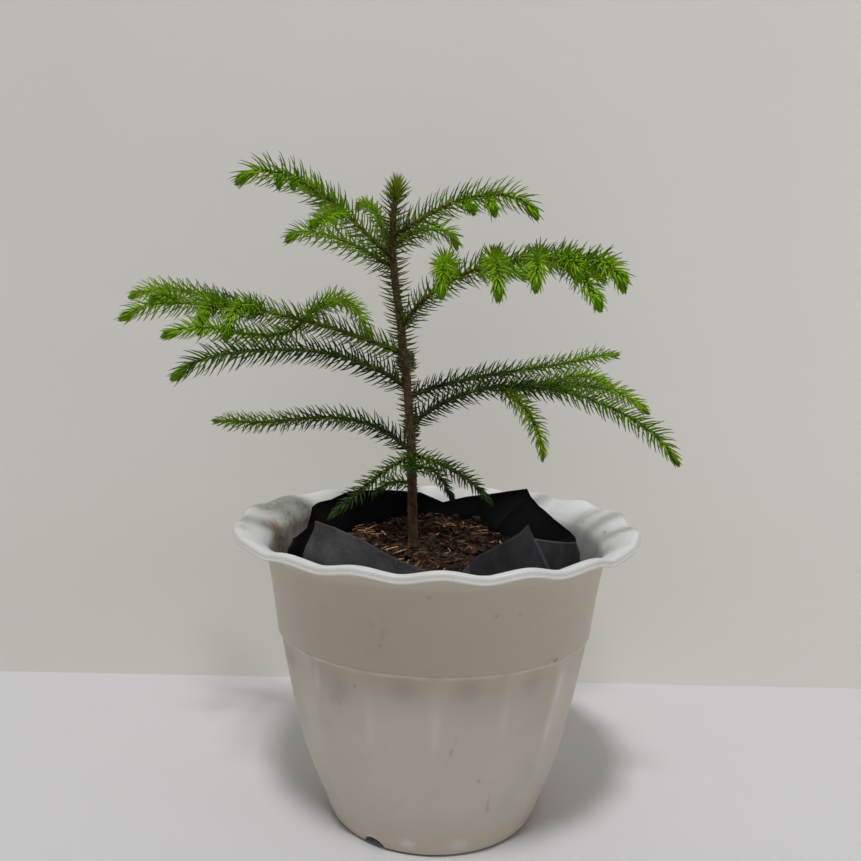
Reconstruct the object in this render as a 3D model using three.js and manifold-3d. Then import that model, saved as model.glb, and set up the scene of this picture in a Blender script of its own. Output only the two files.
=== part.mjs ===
// A young Norfolk Island pine in its nursery bag, stood in a ruffled plastic pot.
// Millimetres, +Z up, -Y to the front. The origin is the centre of the pot's flat underside.
import * as THREE from "three";
import { mergeVertices } from "three/addons/utils/BufferGeometryUtils.js";
import Module from "manifold-3d";

const wasm = await Module();
wasm.setup();

const gap = 0.3; // clearance between neighbouring solids

// Pot: a thin moulded shell, fluted below a raised band and ruffled at its rolled rim.
const pot = {
  wall: 2.2,
  floor: 3,
  // radius, height up the outside, from the foot to where the wall flares
  outside: [
    [68.5, 0],
    [72.5, 4],
    [77, 15],
    [84.5, 34],
    [93.2, 60],
    [100.9, 92],
    [106.3, 127.6],
    [108.4, 129.5],
    [107.4, 131.4],
    [112.2, 160],
    [117.4, 184],
  ],
  // the flare's underside, the rolled lip and the flare's inner face
  rim: [
    [122.5, 189.4],
    [132.4, 195.4],
    [134, 191.6],
    [136.2, 191.6],
    [136.6, 194.6],
    [133.8, 198.4],
    [123, 193.2],
  ],
  insideHeights: [184, 131, 60],
  flareStart: 117.5, // radius where the ruffle begins
  waves: 18,
  facesPerWave: 4,
  crestAzimuth: 268,
  ruffleRise: 1.9,
  ruffleReach: 1.5,
  fluteDepth: 1.8,
  fluteTop: 127,
  notches: 3,
  notchAzimuth: 239,
  notchRadius: 7,
};

// Bag: polythene, standing off the pot's wall, its rim folded and pleated.
const bag = {
  centre: [2, 3],
  film: 1.2,
  // radius, height of the lower wall
  wall: [
    [60, 0],
    [82, 57],
    [89, 147],
  ],
  // azimuth, height above the ground, radius at each corner of the rim
  rim: [
    [18, 196, 93],
    [38, 205, 91],
    [42, 212, 91],
    [57, 206, 91],
    [75, 201, 90],
    [88, 195.5, 90],
    [100, 203.5, 90],
    [120, 206.5, 90],
    [143, 211.5, 90],
    [153, 210, 92],
    [166, 203, 95],
    [184, 196, 95],
    [191, 188, 98],
    [198, 192, 96],
    [204, 203.5, 92],
    [235, 195, 92],
    [266, 187, 91],
    [272, 178, 91],
    [278, 187, 91],
    [303, 212, 91],
    [307, 202, 90],
    [333, 194, 93],
    [352, 188, 94],
  ],
  widestStep: 12,
};

const soil = { height: 181, tilt: 0.075, droop: 6, lumps: 1.6, footHeight: 178, footRadius: 7 };

// Trunk stations: height, lean across, radius.
const trunk = {
  sides: 10,
  stations: [
    [178.3, -16.8, 4.9],
    [182, -17, 4.0],
    [192, -17.6, 3.5],
    [230, -19, 3.2],
    [255, -20.2, 3.0],
    [285, -22.9, 2.8],
    [315, -26.5, 2.7],
    [340, -29.7, 2.3],
    [358, -32.6, 1.9],
    [385, -35.3, 1.7],
    [405, -35.1, 1.4],
    [424, -33.3, 0.9],
  ],
};

const tiers = {
  top: { leaf: 0x7fae46, needle: 12, root: 1.5 },
  upper: { leaf: 0x6a9c3c, needle: 13, root: 1.7 },
  middle: { leaf: 0x3f7236, needle: 12.5, root: 1.6 },
  lower: { leaf: 0x35602f, needle: 11, root: 1.1 },
};

// Boughs by tier. Angles are in degrees, and azimuth runs anticlockwise from +X.
// side, height on the trunk, azimuth, sweep, length, rise at root, middle and tip, twigs
// each twig: share of the bough's length, turn off the bough, length, rise at root, middle and tip
const boughTable = {
  top: [
    ["left", 377, 208, 8, 125, [38, 26, -36], [
      [0.36, 42, 55, [-10, -16, -30]],
      [0.38, -47, 34, [25, 40, 15]],
    ]],
    ["right", 391, 345, 0, 111, [33, 14, -57], [
      [0.51, -49, 31, [-17, -24, -50]],
      [0.61, -53, 29, [-17, -37, -58]],
    ]],
    ["left_back", 371, 150, 0, 101, [26, 19, -20], []],
    ["right_back", 385, 44, 0, 70, [34, 15, -58], []],
    ["back", 381, 112, 2, 92, [45, 35, -5], []],
  ],
  upper: [
    ["right", 330, 322, -2, 178, [54, 4, -30], [
      [0.29, -57, 72, [45, 4, -79]],
      [0.48, -50, 60, [27, -13, -76]],
      [0.68, -60, 50, [22, -18, -63]],
      [0.81, -43, 58, [-25, -13, -85]],
      [0.4, 52, 38, [8, 0, -25]],
      [0.56, 42, 59, [17, 9, -36]],
    ]],
    ["left", 313, 179, -4, 204, [23, 8, -22], [
      [0.36, 34, 98, [-50, 7, -29]],
      [0.51, 55, 52, [30, -25, -85]],
      [0.7, 45, 46, [22, -30, -85]],
      [0.36, -112, 105, [49, 2, -68]],
      [0.49, -22, 126, [6, 13, -20]],
    ]],
    ["left_front", 290, 204, 0, 159, [36, 2, -16], []],
    ["back", 302, 92, 0, 112, [14, 4, -14], []],
  ],
  middle: [
    ["right_back", 284, 26, 0, 182, [15, 12, 11], []],
    ["right", 264, 341, 5, 202, [44, -6, -41], [
      [0.38, 36, 90, [-20, 16, -55]],
      [0.5, 28, 77, [4, -7, -45]],
      [0.35, -43, 70, [-21, -34, -85]],
    ]],
    ["left", 245, 160, -9, 176, [47, -6, 16], []],
    ["back", 254, 91, 0, 120, [16, 2, -18], []],
  ],
  lower: [
    ["left", 243, 215, 0, 72, [-16, -33, -36], []],
    ["right", 244, 335, 0, 66, [-8, -23, -53], []],
    ["front", 237, 268, 0, 32, [10, -15, -40], []],
    ["right_back", 233, 40, 0, 50, [27, -39, -56], []],
    ["left_back", 224, 150, 0, 36, [7, -18, -67], []],
  ],
};
const boughs = Object.entries(boughTable).flatMap(([tier, rows]) =>
  rows.map(([side, height, azimuth, sweep, length, lifts, twigs]) => {
    const name = tier + "_" + side;
    return { name, tier, height, azimuth, sweep, length, lifts, twigs };
  }),
);

const bareShare = 0.17; // share of a bough that is the bare limb
const limb = { sides: 6, rings: 3, endTaper: 0.72 };
const spray = {
  foot: 2.7, // of a needle, along the stem
  stride: 6.6, // from one ring of needles to the next
  sides: 3,
  twist: 23,
  frames: 200, // frames worked out along a stem
  lean: 47,
  leanSpread: 7,
  tipLean: 24,
  tipLength: 6,
  endRadius: 0.65,
  twigRadius: 0.9,
  shortest: 0.62, // share of its length that a needle has at the tip
  keepOff: 2.1, // between a needle and another node's needles
  keepOffOwn: 1.1,
  keepOffBag: 3,
};
const collar = {
  from: 236,
  to: 426,
  count: 4,
  rings: 6, // of needles on each
  foot: 2.7,
  sides: 6,
  clearance: 0.45,
  thickness: 0.75,
  twist: 10,
  needle: 10,
  lean: 62,
  tipLean: 22,
};

const radians = THREE.MathUtils.degToRad;
const lerp = THREE.MathUtils.lerp;

// Small repeatable generator, so that the tree grows the same way every time.
function seeded(seed) {
  let state = seed;
  return () => {
    state = (state + 0x6d2b79f5) | 0;
    let t = Math.imul(state ^ (state >>> 15), 1 | state);
    t = (t + Math.imul(t ^ (t >>> 7), 61 | t)) ^ t;
    return ((t ^ (t >>> 14)) >>> 0) / 4294967296;
  };
}

// Value of column `column` of a table sorted by its column `key`.
function lookUp(table, key, column, at) {
  let i = 1;
  while (i < table.length - 1 && table[i][key] < at) i++;
  const low = table[i - 1];
  const high = table[i];
  const share = THREE.MathUtils.clamp((at - low[key]) / (high[key] - low[key]), 0, 1);
  return lerp(low[column], high[column], share);
}

// ---- solids and booleans

function solidOf(geometry) {
  const bare = geometry.clone();
  bare.deleteAttribute("normal");
  bare.deleteAttribute("uv");
  const merged = mergeVertices(bare, 1e-4);
  return new wasm.Manifold(
    new wasm.Mesh({
      numProp: 3,
      vertProperties: merged.attributes.position.array,
      triVerts: new Uint32Array(merged.index.array),
    }),
  );
}

// The largest body of a solid as a geometry: scraps that a cut leaves loose are dropped.
function geometryOf(solid) {
  const bodies = solid.decompose();
  bodies.sort((a, b) => b.volume() - a.volume());
  const mesh = bodies[0].getMesh();
  const geometry = new THREE.BufferGeometry();
  geometry.setAttribute("position", new THREE.BufferAttribute(mesh.vertProperties, 3));
  geometry.setIndex(new THREE.BufferAttribute(mesh.triVerts, 1));
  return geometry;
}

function surface(points, triangles) {
  const geometry = new THREE.BufferGeometry().setFromPoints(points);
  geometry.setIndex(triangles);
  return geometry;
}

// Closed skin over rings of equally many points, with a point at each end.
function skin(rings, first, last) {
  const count = rings[0].length;
  const points = [first, ...rings.flat(), last];
  const end = points.length - 1;
  const triangles = [];
  for (let j = 0; j < count; j++) {
    const k = (j + 1) % count;
    triangles.push(0, 1 + k, 1 + j);
    triangles.push(end, end - count + j, end - count + k);
    for (let i = 0; i < rings.length - 1; i++) {
      const a = 1 + i * count;
      const b = a + count;
      triangles.push(a + j, a + k, b + k);
      triangles.push(a + j, b + k, b + j);
    }
  }
  return surface(points, triangles);
}

function meshOf(name, geometry, colour, roughness) {
  geometry.computeVertexNormals();
  const material = new THREE.MeshStandardMaterial({ color: colour, roughness, metalness: 0 });
  const mesh = new THREE.Mesh(geometry, material);
  mesh.name = name;
  return mesh;
}

// ---- pot

const outsideRadius = (height) => lookUp(pot.outside, 1, 0, height);

// The turned profile, bent into waves at the rim and hollowed into flutes below the band.
function potGeometry() {
  const wallInside = pot.insideHeights.map((height) => [outsideRadius(height) - pot.wall, height]);
  const profile = [
    [0, 0],
    ...pot.outside,
    ...pot.rim,
    ...wallInside,
    [outsideRadius(pot.floor) - pot.wall, pot.floor],
    [0, pot.floor],
  ];
  const outline = profile.map(([radius, height]) => new THREE.Vector2(radius, height));
  const geometry = new THREE.LatheGeometry(outline, pot.waves * pot.facesPerWave);
  geometry.rotateX(Math.PI / 2);
  const spots = geometry.attributes.position;
  const reach = pot.rim[4][0];
  for (let i = 0; i < spots.count; i++) {
    const x = spots.getX(i);
    const y = spots.getY(i);
    const z = spots.getZ(i);
    const radius = Math.hypot(x, y);
    const phase = Math.cos(pot.waves * (Math.atan2(y, x) - radians(pot.crestAzimuth)));
    const flare = THREE.MathUtils.smoothstep(radius, pot.flareStart, reach);
    const outer = radius > outsideRadius(z) - 0.5 * pot.wall;
    const flute = outer && z < pot.fluteTop ? Math.sin((Math.PI * z) / pot.fluteTop) : 0;
    const grown = radius + flare * pot.ruffleReach * phase - (flute * pot.fluteDepth * (1 - phase)) / 2;
    const scale = radius > 0 ? grown / radius : 1;
    spots.setXYZ(i, x * scale, y * scale, z + flare * pot.ruffleRise * phase);
  }
  return geometry;
}

function drainNotch(azimuth) {
  const depth = 16;
  const cutter = new THREE.CylinderGeometry(pot.notchRadius, pot.notchRadius, depth, 12);
  cutter.rotateZ(Math.PI / 2);
  cutter.translate(pot.outside[0][0] + 2, 0, 0);
  cutter.rotateZ(radians(azimuth));
  return solidOf(cutter);
}

function makePot() {
  let shell = solidOf(potGeometry());
  for (let i = 0; i < pot.notches; i++)
    shell = shell.subtract(drainNotch(pot.notchAzimuth + (360 * i) / pot.notches));
  return meshOf("pot", geometryOf(shell), 0xcfc9bf, 0.45);
}

// ---- bag and potting mix

// Azimuths round the bag: each corner of its rim, with the wide spans cut into even steps.
function bagAzimuths() {
  const azimuths = [];
  bag.rim.forEach(([azimuth], i) => {
    const next = i + 1 < bag.rim.length ? bag.rim[i + 1][0] : bag.rim[0][0] + 360;
    const pieces = Math.ceil((next - azimuth) / bag.widestStep);
    for (let j = 0; j < pieces; j++) azimuths.push(azimuth + ((next - azimuth) * j) / pieces);
  });
  return azimuths;
}

const wrappedRim = [...bag.rim, [bag.rim[0][0] + 360, bag.rim[0][1], bag.rim[0][2]]];
const bagRimHeight = (azimuth) => lookUp(wrappedRim, 0, 1, azimuth);
const bagRimRadius = (azimuth) => lookUp(wrappedRim, 0, 2, azimuth);
const bagFoot = pot.floor + gap; // height of the bag's underside

function around(azimuth, radius, height) {
  const angle = radians(azimuth);
  return new THREE.Vector3(radius * Math.cos(angle), radius * Math.sin(angle), height);
}

// Rings up the bag's wall, `inset` inside its outer face, in the bag's own frame.
function bagWall(inset) {
  return bag.wall.map(([radius, height], i) =>
    bagAzimuths().map((azimuth) => around(azimuth, radius - inset, i === 0 ? inset : height)),
  );
}

function makeBag() {
  const rimRing = (inset) =>
    bagAzimuths().map((azimuth) => {
      const height = bagRimHeight(azimuth) - bagFoot;
      return around(azimuth, bagRimRadius(azimuth) - inset, height);
    });
  const rings = [...bagWall(0), rimRing(0), rimRing(bag.film), ...bagWall(bag.film).reverse()];
  const geometry = skin(rings, new THREE.Vector3(), new THREE.Vector3(0, 0, bag.film));
  const mesh = meshOf("grow_bag", geometry, 0x24242a, 0.5);
  mesh.position.set(...bag.centre, bagFoot);
  return mesh;
}

// The mix fills the bag, mounded and uneven, with a flat seat under the trunk.
function makeSoil() {
  const random = seeded(11);
  const inset = bag.film + gap;
  const wall = bagWall(inset);
  const edge = wall.at(-1);
  const [, footX] = trunk.stations[0];
  const seat = new THREE.Vector3(footX - bag.centre[0], -bag.centre[1], soil.footHeight - bagFoot);
  const wallRadius = bag.wall.at(-1)[0];
  const mound = [0, 0.3, 0.6].map((share) =>
    edge.map((corner, i) => {
      const foot = around(bagAzimuths()[i], soil.footRadius, 0).add(seat);
      const spot = corner.clone().lerp(foot, share);
      const droop = soil.droop * Math.pow(Math.hypot(spot.x, spot.y) / wallRadius, 4);
      const lump = soil.lumps * (random() - 0.5);
      spot.z = soil.height - bagFoot + soil.tilt * spot.y - droop + lump;
      return spot;
    }),
  );
  const seatRing = bagAzimuths().map((azimuth) => around(azimuth, soil.footRadius, 0).add(seat));
  const geometry = skin([...wall, ...mound, seatRing], new THREE.Vector3(0, 0, inset), seat);
  const mesh = meshOf("potting_mix", geometry, 0x3b2a20, 0.95);
  mesh.position.set(...bag.centre, bagFoot);
  return mesh;
}

// ---- trunk

const trunkX = (height) => lookUp(trunk.stations, 0, 1, height);
const trunkRadius = (height) => lookUp(trunk.stations, 0, 2, height);
const trunkAxis = (height) => new THREE.Vector3(trunkX(height), 0, height);

// Level ring round the trunk's axis.
function trunkRing(height, radius, sides, turn = 0) {
  const ring = [];
  for (let j = 0; j < sides; j++)
    ring.push(around(turn + (360 * j) / sides, radius, 0).add(trunkAxis(height)));
  return ring;
}

// The trunk's skin, `margin` proud of its surface, from its cut foot to its tip.
function trunkGeometry(margin) {
  const rings = trunk.stations.map(([height, , radius]) =>
    trunkRing(height, radius + margin, trunk.sides),
  );
  const heights = trunk.stations.map(([height]) => height);
  return skin(rings, trunkAxis(heights[0]), trunkAxis(heights[heights.length - 1]));
}

// ---- room taken by limbs, stems and needles

const taken = [];

// Shortest distance between two segments.
function between(a, b, c, d) {
  const u = b.clone().sub(a);
  const v = d.clone().sub(c);
  const w = a.clone().sub(c);
  const uu = u.dot(u);
  const uv = u.dot(v);
  const vv = v.dot(v);
  const uw = u.dot(w);
  const vw = v.dot(w);
  const clamp = (value) => THREE.MathUtils.clamp(value, 0, 1);
  const across = uu * vv - uv * uv;
  let s = across > 1e-9 ? clamp((uv * vw - vv * uw) / across) : 0;
  const t = clamp((uv * s + vw) / vv);
  s = clamp((uv * t - uw) / uu);
  return w.addScaledVector(u, s).addScaledVector(v, -t).length();
}

function take(a, b, radius, node, stem) {
  taken.push({ a, b, radius, node, stem });
}

function takeCurve(curve, radius, node, stem) {
  const points = curve.getSpacedPoints(Math.ceil(curve.getLength() / 6));
  for (let i = 1; i < points.length; i++) take(points[i - 1], points[i], radius, node, stem);
}

// Whether a needle from a to b keeps off the bag, the mix and everything that isn't its own stem.
function isFree(a, b, node, stem) {
  const x = b.x - bag.centre[0];
  const y = b.y - bag.centre[1];
  const azimuth = (THREE.MathUtils.radToDeg(Math.atan2(y, x)) + 360) % 360;
  const azimuthOnRim = azimuth < bag.rim[0][0] ? azimuth + 360 : azimuth;
  const insideWall = Math.hypot(x, y) < bag.wall.at(-1)[0] - bag.film - spray.keepOffBag;
  const overRim = b.z > bagRimHeight(azimuthOnRim) + spray.keepOffBag;
  const overSoil = b.z > soil.height + spray.keepOffBag;
  if (!overSoil || !(insideWall || overRim)) return false;
  return taken.every((other) => {
    if (other.node === node && other.stem === stem) return true;
    const room = other.node === node ? spray.keepOffOwn : spray.keepOff;
    return between(a, b, other.a, other.b) > room + other.radius;
  });
}

// ---- boughs

// Path of a bough or twig: it swings by `sweep` and its rise runs through the three lifts.
function limbCurve(start, azimuth, sweep, lifts, length) {
  const steps = 14;
  const points = [start.clone()];
  for (let i = 0; i < steps; i++) {
    const s = (i + 0.5) / steps;
    const lift = lifts[0] * (1 - s) * (1 - 2 * s) + lifts[1] * 4 * s * (1 - s) + lifts[2] * s * (2 * s - 1);
    const level = Math.cos(radians(lift));
    const step = around(azimuth + sweep * s, level, Math.sin(radians(lift)));
    points.push(points[i].clone().addScaledVector(step, length / steps));
  }
  return new THREE.CatmullRomCurve3(points);
}

// Part of a curve, from one share of its length to another.
function stretchOf(curve, from, to) {
  const steps = 12;
  const points = [];
  for (let i = 0; i <= steps; i++) points.push(curve.getPointAt(lerp(from, to, i / steps)));
  return new THREE.CatmullRomCurve3(points);
}

function tube(curve, startRadius, endRadius, sides, steps) {
  const frames = curve.computeFrenetFrames(steps, false);
  const rings = [];
  for (let i = 0; i <= steps; i++) {
    const centre = curve.getPointAt(i / steps);
    const radius = lerp(startRadius, endRadius, i / steps);
    const ring = [];
    for (let j = 0; j < sides; j++) {
      const angle = (2 * Math.PI * j) / sides;
      const spot = centre.clone().addScaledVector(frames.normals[i], radius * Math.cos(angle));
      ring.push(spot.addScaledVector(frames.binormals[i], radius * Math.sin(angle)));
    }
    rings.push(ring);
  }
  return skin(rings, curve.getPointAt(0), curve.getPointAt(1));
}

const boughCurves = boughs.map((bough) =>
  limbCurve(trunkAxis(bough.height), bough.azimuth, bough.sweep, bough.lifts, bough.length),
);
const limbCurves = boughCurves.map((curve) => stretchOf(curve, 0, bareShare));

const trunkRoom = solidOf(trunkGeometry(gap));

function makeLimb(bough, curve) {
  const root = tiers[bough.tier].root;
  const body = solidOf(tube(curve, root, root * limb.endTaper, limb.sides, limb.rings));
  return meshOf("bough_" + bough.name, geometryOf(body.subtract(trunkRoom)), 0x6b4f36, 0.85);
}

// ---- needles

// Skin under way: points and triangles, to which faces and needles are added.
class Skin {
  points = [];
  triangles = [];

  addPoint(point) {
    return this.points.push(point) - 1;
  }

  // Flat face over corners a, b, c, d, split from b to d.
  addFace([a, b, c, d]) {
    this.triangles.push(a, b, d, b, c, d);
  }

  // Awl-shaped needle: a four-sided pyramid that stands on the face.
  addNeedle(corners, tip) {
    const top = this.addPoint(tip);
    corners.forEach((corner, i) => this.triangles.push(corner, corners[(i + 1) % 4], top));
  }

  middleOf(corners) {
    const middle = new THREE.Vector3();
    corners.forEach((corner) => middle.addScaledVector(this.points[corner], 1 / corners.length));
    return middle;
  }

  solid() {
    return solidOf(surface(this.points, this.triangles));
  }
}

// Grows a needle on a face where there is room for it, and otherwise closes the face.
function growNeedle(into, corners, tip, node, stem) {
  const foot = into.middleOf(corners);
  if (isFree(foot, tip, node, stem)) {
    into.addNeedle(corners, tip);
    take(foot, tip, 0, node, stem);
  } else {
    into.addFace(corners);
  }
}

// Three-sided stem along a curve, turning as it goes, with a ring of needles every stride.
function needledStem(curve, startRadius, needleLength, node, stem, random) {
  const { sides } = spray;
  const length = curve.getLength();
  const strides = Math.max(2, Math.round(length / spray.stride));
  const footShare = spray.foot / length;
  const into = new Skin();
  const stops = [0];
  for (let i = 0; i < strides; i++) stops.push((i + 1) / strides - footShare, (i + 1) / strides);
  const { normals, binormals } = curve.computeFrenetFrames(spray.frames, false);
  stops.forEach((share, i) => {
    const frame = Math.round(share * spray.frames);
    const radius = lerp(startRadius, spray.endRadius, share);
    for (let j = 0; j < sides; j++) {
      const angle = radians(i * spray.twist + (360 * j) / sides);
      const spot = curve.getPointAt(share).addScaledVector(normals[frame], radius * Math.cos(angle));
      into.addPoint(spot.addScaledVector(binormals[frame], radius * Math.sin(angle)));
    }
  });
  into.triangles.push(0, 2, 1);
  for (let i = 0; i + 1 < stops.length; i++) {
    const along = (stops[i] + stops[i + 1]) / 2;
    const centre = curve.getPointAt(along);
    const forward = curve.getTangentAt(along);
    const nearTip = Math.pow(along, 5);
    for (let j = 0; j < sides; j++) {
      const k = (j + 1) % sides;
      const low = i * sides;
      const corners = [low + j, low + k, low + sides + k, low + sides + j];
      if (i % 2 === 0) {
        into.addFace(corners);
        continue;
      }
      const foot = into.middleOf(corners);
      const outward = foot.clone().sub(centre);
      outward.addScaledVector(forward, -outward.dot(forward)).normalize();
      const lean = radians(lerp(spray.lean, spray.tipLean, nearTip) + spray.leanSpread * (random() - 0.5));
      const reach = needleLength * lerp(1, spray.shortest, nearTip) * lerp(0.9, 1.1, random());
      const tip = foot.clone().addScaledVector(forward, reach * Math.cos(lean));
      growNeedle(into, corners, tip.addScaledVector(outward, reach * Math.sin(lean)), node, stem);
    }
  }
  const end = into.addPoint(curve.getPointAt(1).addScaledVector(curve.getTangentAt(1), spray.tipLength));
  const last = (stops.length - 1) * sides;
  for (let j = 0; j < sides; j++) into.triangles.push(last + j, last + ((j + 1) % sides), end);
  return into.solid();
}

// Where a bough's needles grow: its own stem past the bare limb, then each twig off it.
function stemsOf(bough, curve) {
  const bareEnd = bareShare + gap / curve.getLength();
  const root = tiers[bough.tier].root;
  const stems = [{ curve: stretchOf(curve, bareEnd, 1), radius: root * limb.endTaper }];
  bough.twigs.forEach(([share, turn, length, lifts]) => {
    const azimuth = bough.azimuth + bough.sweep * share + turn;
    const twig = limbCurve(curve.getPointAt(share), azimuth, 0, lifts, length);
    stems.push({ curve: twig, radius: spray.twigRadius });
  });
  return stems;
}

function makeSpray(bough, stems, random) {
  const { leaf, needle: length } = tiers[bough.tier];
  const solids = stems.map(({ curve, radius }, i) =>
    needledStem(curve, radius, length, bough.name, i, random),
  );
  const body = solids.reduce((sum, twig) => sum.add(twig));
  return meshOf("needles_" + bough.name, geometryOf(body), leaf, 0.6);
}

// Thin sleeve round the trunk with needles on its outer faces, notched where boughs pass.
function makeCollar(index, cutters, random) {
  const { sides } = collar;
  const node = "collar" + index;
  const height = (collar.to - collar.from) / collar.count;
  const low = collar.from + index * height;
  const high = low + height - gap;
  const innerRadius = (level) => (trunkRadius(level) + collar.clearance) / Math.cos(Math.PI / sides);
  const into = new Skin();
  const levels = [low];
  for (let i = 0; i < collar.rings; i++) {
    const top = lerp(low, high, (i + 1) / collar.rings);
    levels.push(top - collar.foot, top);
  }
  levels.forEach((level, i) => {
    const ring = trunkRing(level, innerRadius(level) + collar.thickness, sides, i * collar.twist);
    ring.forEach((point) => into.addPoint(point));
  });
  const inside = into.points.length;
  const bends = trunk.stations.map(([level]) => level).filter((level) => level > low && level < high);
  const innerLevels = [low, ...bends, high];
  innerLevels.forEach((level) => {
    const ring = trunkRing(level, innerRadius(level), sides);
    ring.forEach((point) => into.addPoint(point));
  });
  const last = (levels.length - 1) * sides;
  const insideTop = inside + bends.length * sides + sides;
  const turned = Math.round(((levels.length - 1) * collar.twist * sides) / 360);
  for (let j = 0; j < sides; j++) {
    const k = (j + 1) % sides;
    const topJ = insideTop + ((j + turned) % sides);
    const topK = insideTop + ((k + turned) % sides);
    into.addFace([inside + j, inside + k, k, j]);
    into.addFace([last + j, last + k, topK, topJ]);
    for (let row = inside; row < insideTop; row += sides)
      into.addFace([row + k, row + j, row + sides + j, row + sides + k]);
    for (let i = 0; i + 1 < levels.length; i++) {
      const row = i * sides;
      const corners = [row + j, row + k, row + sides + k, row + sides + j];
      if (i % 2 === 0) {
        into.addFace(corners);
        continue;
      }
      const foot = into.middleOf(corners);
      const outward = foot.clone().sub(trunkAxis(foot.z)).setZ(0).normalize();
      const risen = Math.pow((foot.z - collar.from) / (collar.to - collar.from), 6);
      const lean = radians(lerp(collar.lean, collar.tipLean, risen) + spray.leanSpread * (random() - 0.5));
      const tip = foot.clone().addScaledVector(outward, collar.needle * Math.sin(lean));
      tip.z += collar.needle * Math.cos(lean);
      growNeedle(into, corners, tip, node, 0);
    }
  }
  const body = cutters.reduce((left, cutter) => left.subtract(cutter), into.solid());
  return meshOf("needles_trunk_" + (index + 1), geometryOf(body), 0x4f7d38, 0.6);
}

// ---- the whole plant

function makeTree() {
  const tree = new THREE.Group();
  tree.add(meshOf("trunk", trunkGeometry(0), 0x5d4534, 0.9));
  boughs.forEach((bough, i) => tree.add(makeLimb(bough, limbCurves[i])));
  limbCurves.forEach((curve, i) => takeCurve(curve, tiers[boughs[i].tier].root, "limb" + i, 0));
  const stems = boughs.map((bough, i) => stemsOf(bough, boughCurves[i]));
  boughs.forEach((bough, i) =>
    stems[i].forEach(({ curve, radius }, j) => takeCurve(curve, radius, bough.name, j)),
  );
  take(trunkAxis(trunk.stations[0][0]), trunkAxis(315), 4, "trunk", 0);
  take(trunkAxis(315), trunkAxis(trunk.stations.at(-1)[0]), 3, "trunk", 0);
  const random = seeded(5);
  boughs.forEach((bough, i) => tree.add(makeSpray(bough, stems[i], random)));
  taken.splice(0, taken.length, ...taken.filter((room) => room.node !== "trunk"));
  const cutters = limbCurves.map((curve, i) => {
    const room = tiers[boughs[i].tier].root + gap;
    return solidOf(tube(curve, room, room, limb.sides, limb.rings));
  });
  for (let i = 0; i < collar.count; i++) tree.add(makeCollar(i, cutters, random));
  return tree;
}

const plant = new THREE.Group();
plant.add(makePot(), makeBag(), makeSoil(), makeTree());

export default plant;
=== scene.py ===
import bpy
import numpy as np
from mathutils import Matrix, Vector


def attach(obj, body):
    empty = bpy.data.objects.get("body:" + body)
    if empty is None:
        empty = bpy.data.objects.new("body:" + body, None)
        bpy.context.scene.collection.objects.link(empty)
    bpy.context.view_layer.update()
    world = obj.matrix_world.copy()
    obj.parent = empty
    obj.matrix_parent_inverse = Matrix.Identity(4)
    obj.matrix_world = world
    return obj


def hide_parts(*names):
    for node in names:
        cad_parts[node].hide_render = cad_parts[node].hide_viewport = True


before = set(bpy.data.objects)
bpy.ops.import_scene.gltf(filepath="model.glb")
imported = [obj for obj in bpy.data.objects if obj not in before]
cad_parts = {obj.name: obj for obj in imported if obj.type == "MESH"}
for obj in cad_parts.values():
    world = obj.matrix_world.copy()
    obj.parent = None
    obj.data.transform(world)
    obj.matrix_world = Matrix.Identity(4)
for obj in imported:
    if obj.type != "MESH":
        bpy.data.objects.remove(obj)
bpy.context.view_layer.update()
mm = 0.001
random = np.random.default_rng(12)


def nodesNamed(start):  # the model's nodes whose names start so
    return sorted(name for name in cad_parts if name.startswith(start))


# Shapes are worked out as arrays, all in millimetres.

def unit(vectors):  # each vector over its own length
    return vectors / np.linalg.norm(vectors, axis=-1, keepdims=True)


def ramp(low, high, at):  # smooth step from 0 at low to 1 at high
    share = np.clip((at - low) / (high - low), 0, 1)
    return share * share * (3 - 2 * share)


def around(azimuth, radius, height):  # polar place, azimuth in degrees anticlockwise from +X
    angle = np.radians(azimuth)
    return np.stack(np.broadcast_arrays(radius * np.cos(angle), radius * np.sin(angle), height), -1)


def levelHeading(angle):  # unit vector in the level plane, angle in radians anticlockwise from +X
    return np.stack([np.cos(angle), np.sin(angle), 0 * angle], -1)


def rowsThrough(spans):  # evenly spaced values over each span: from, to, how many
    return np.concatenate([np.linspace(*span) for span in spans])


def smoothThrough(at, knots, values):
    # A cubic over each span between knots, whose end slopes are those of its neighbours' chords.
    knots = np.asarray(knots, float)
    values = np.asarray(values, float)
    slopes = np.gradient(values, knots, axis=0)
    span = np.clip(np.searchsorted(knots, at, side="right") - 1, 0, len(knots) - 2)
    width = knots[span + 1] - knots[span]
    t = np.clip((at - knots[span]) / width, 0, 1)
    if values.ndim > 1:
        t, width = t[:, None], width[:, None]
    low = (1 + 2 * t) * (1 - t) ** 2 * values[span] + t * (1 - t) ** 2 * width * slopes[span]
    return low + t * t * (3 - 2 * t) * values[span + 1] + t * t * (t - 1) * width * slopes[span + 1]


def curveThrough(corners, count):
    # The smooth curve through the corners, with the chord's length as its parameter.
    corners = np.asarray(corners, float)
    run = np.concatenate([[0], np.cumsum(np.linalg.norm(np.diff(corners, axis=0), axis=1))])
    return smoothThrough(np.linspace(0, run[-1], count), run, corners)


def softNoise(points, size, seed, waves=14):
    # Sum of sine waves of about one length in random directions, from -1 to 1 and mostly near 0.
    dice = np.random.default_rng(seed)
    directions = unit(dice.normal(size=(waves, 3))) * dice.uniform(0.7, 1.4, (waves, 1))
    phases = dice.uniform(0, 2 * np.pi, waves)
    return np.sin(points @ directions.T * (2 * np.pi / size) + phases).sum(1) / np.sqrt(waves)


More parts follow.
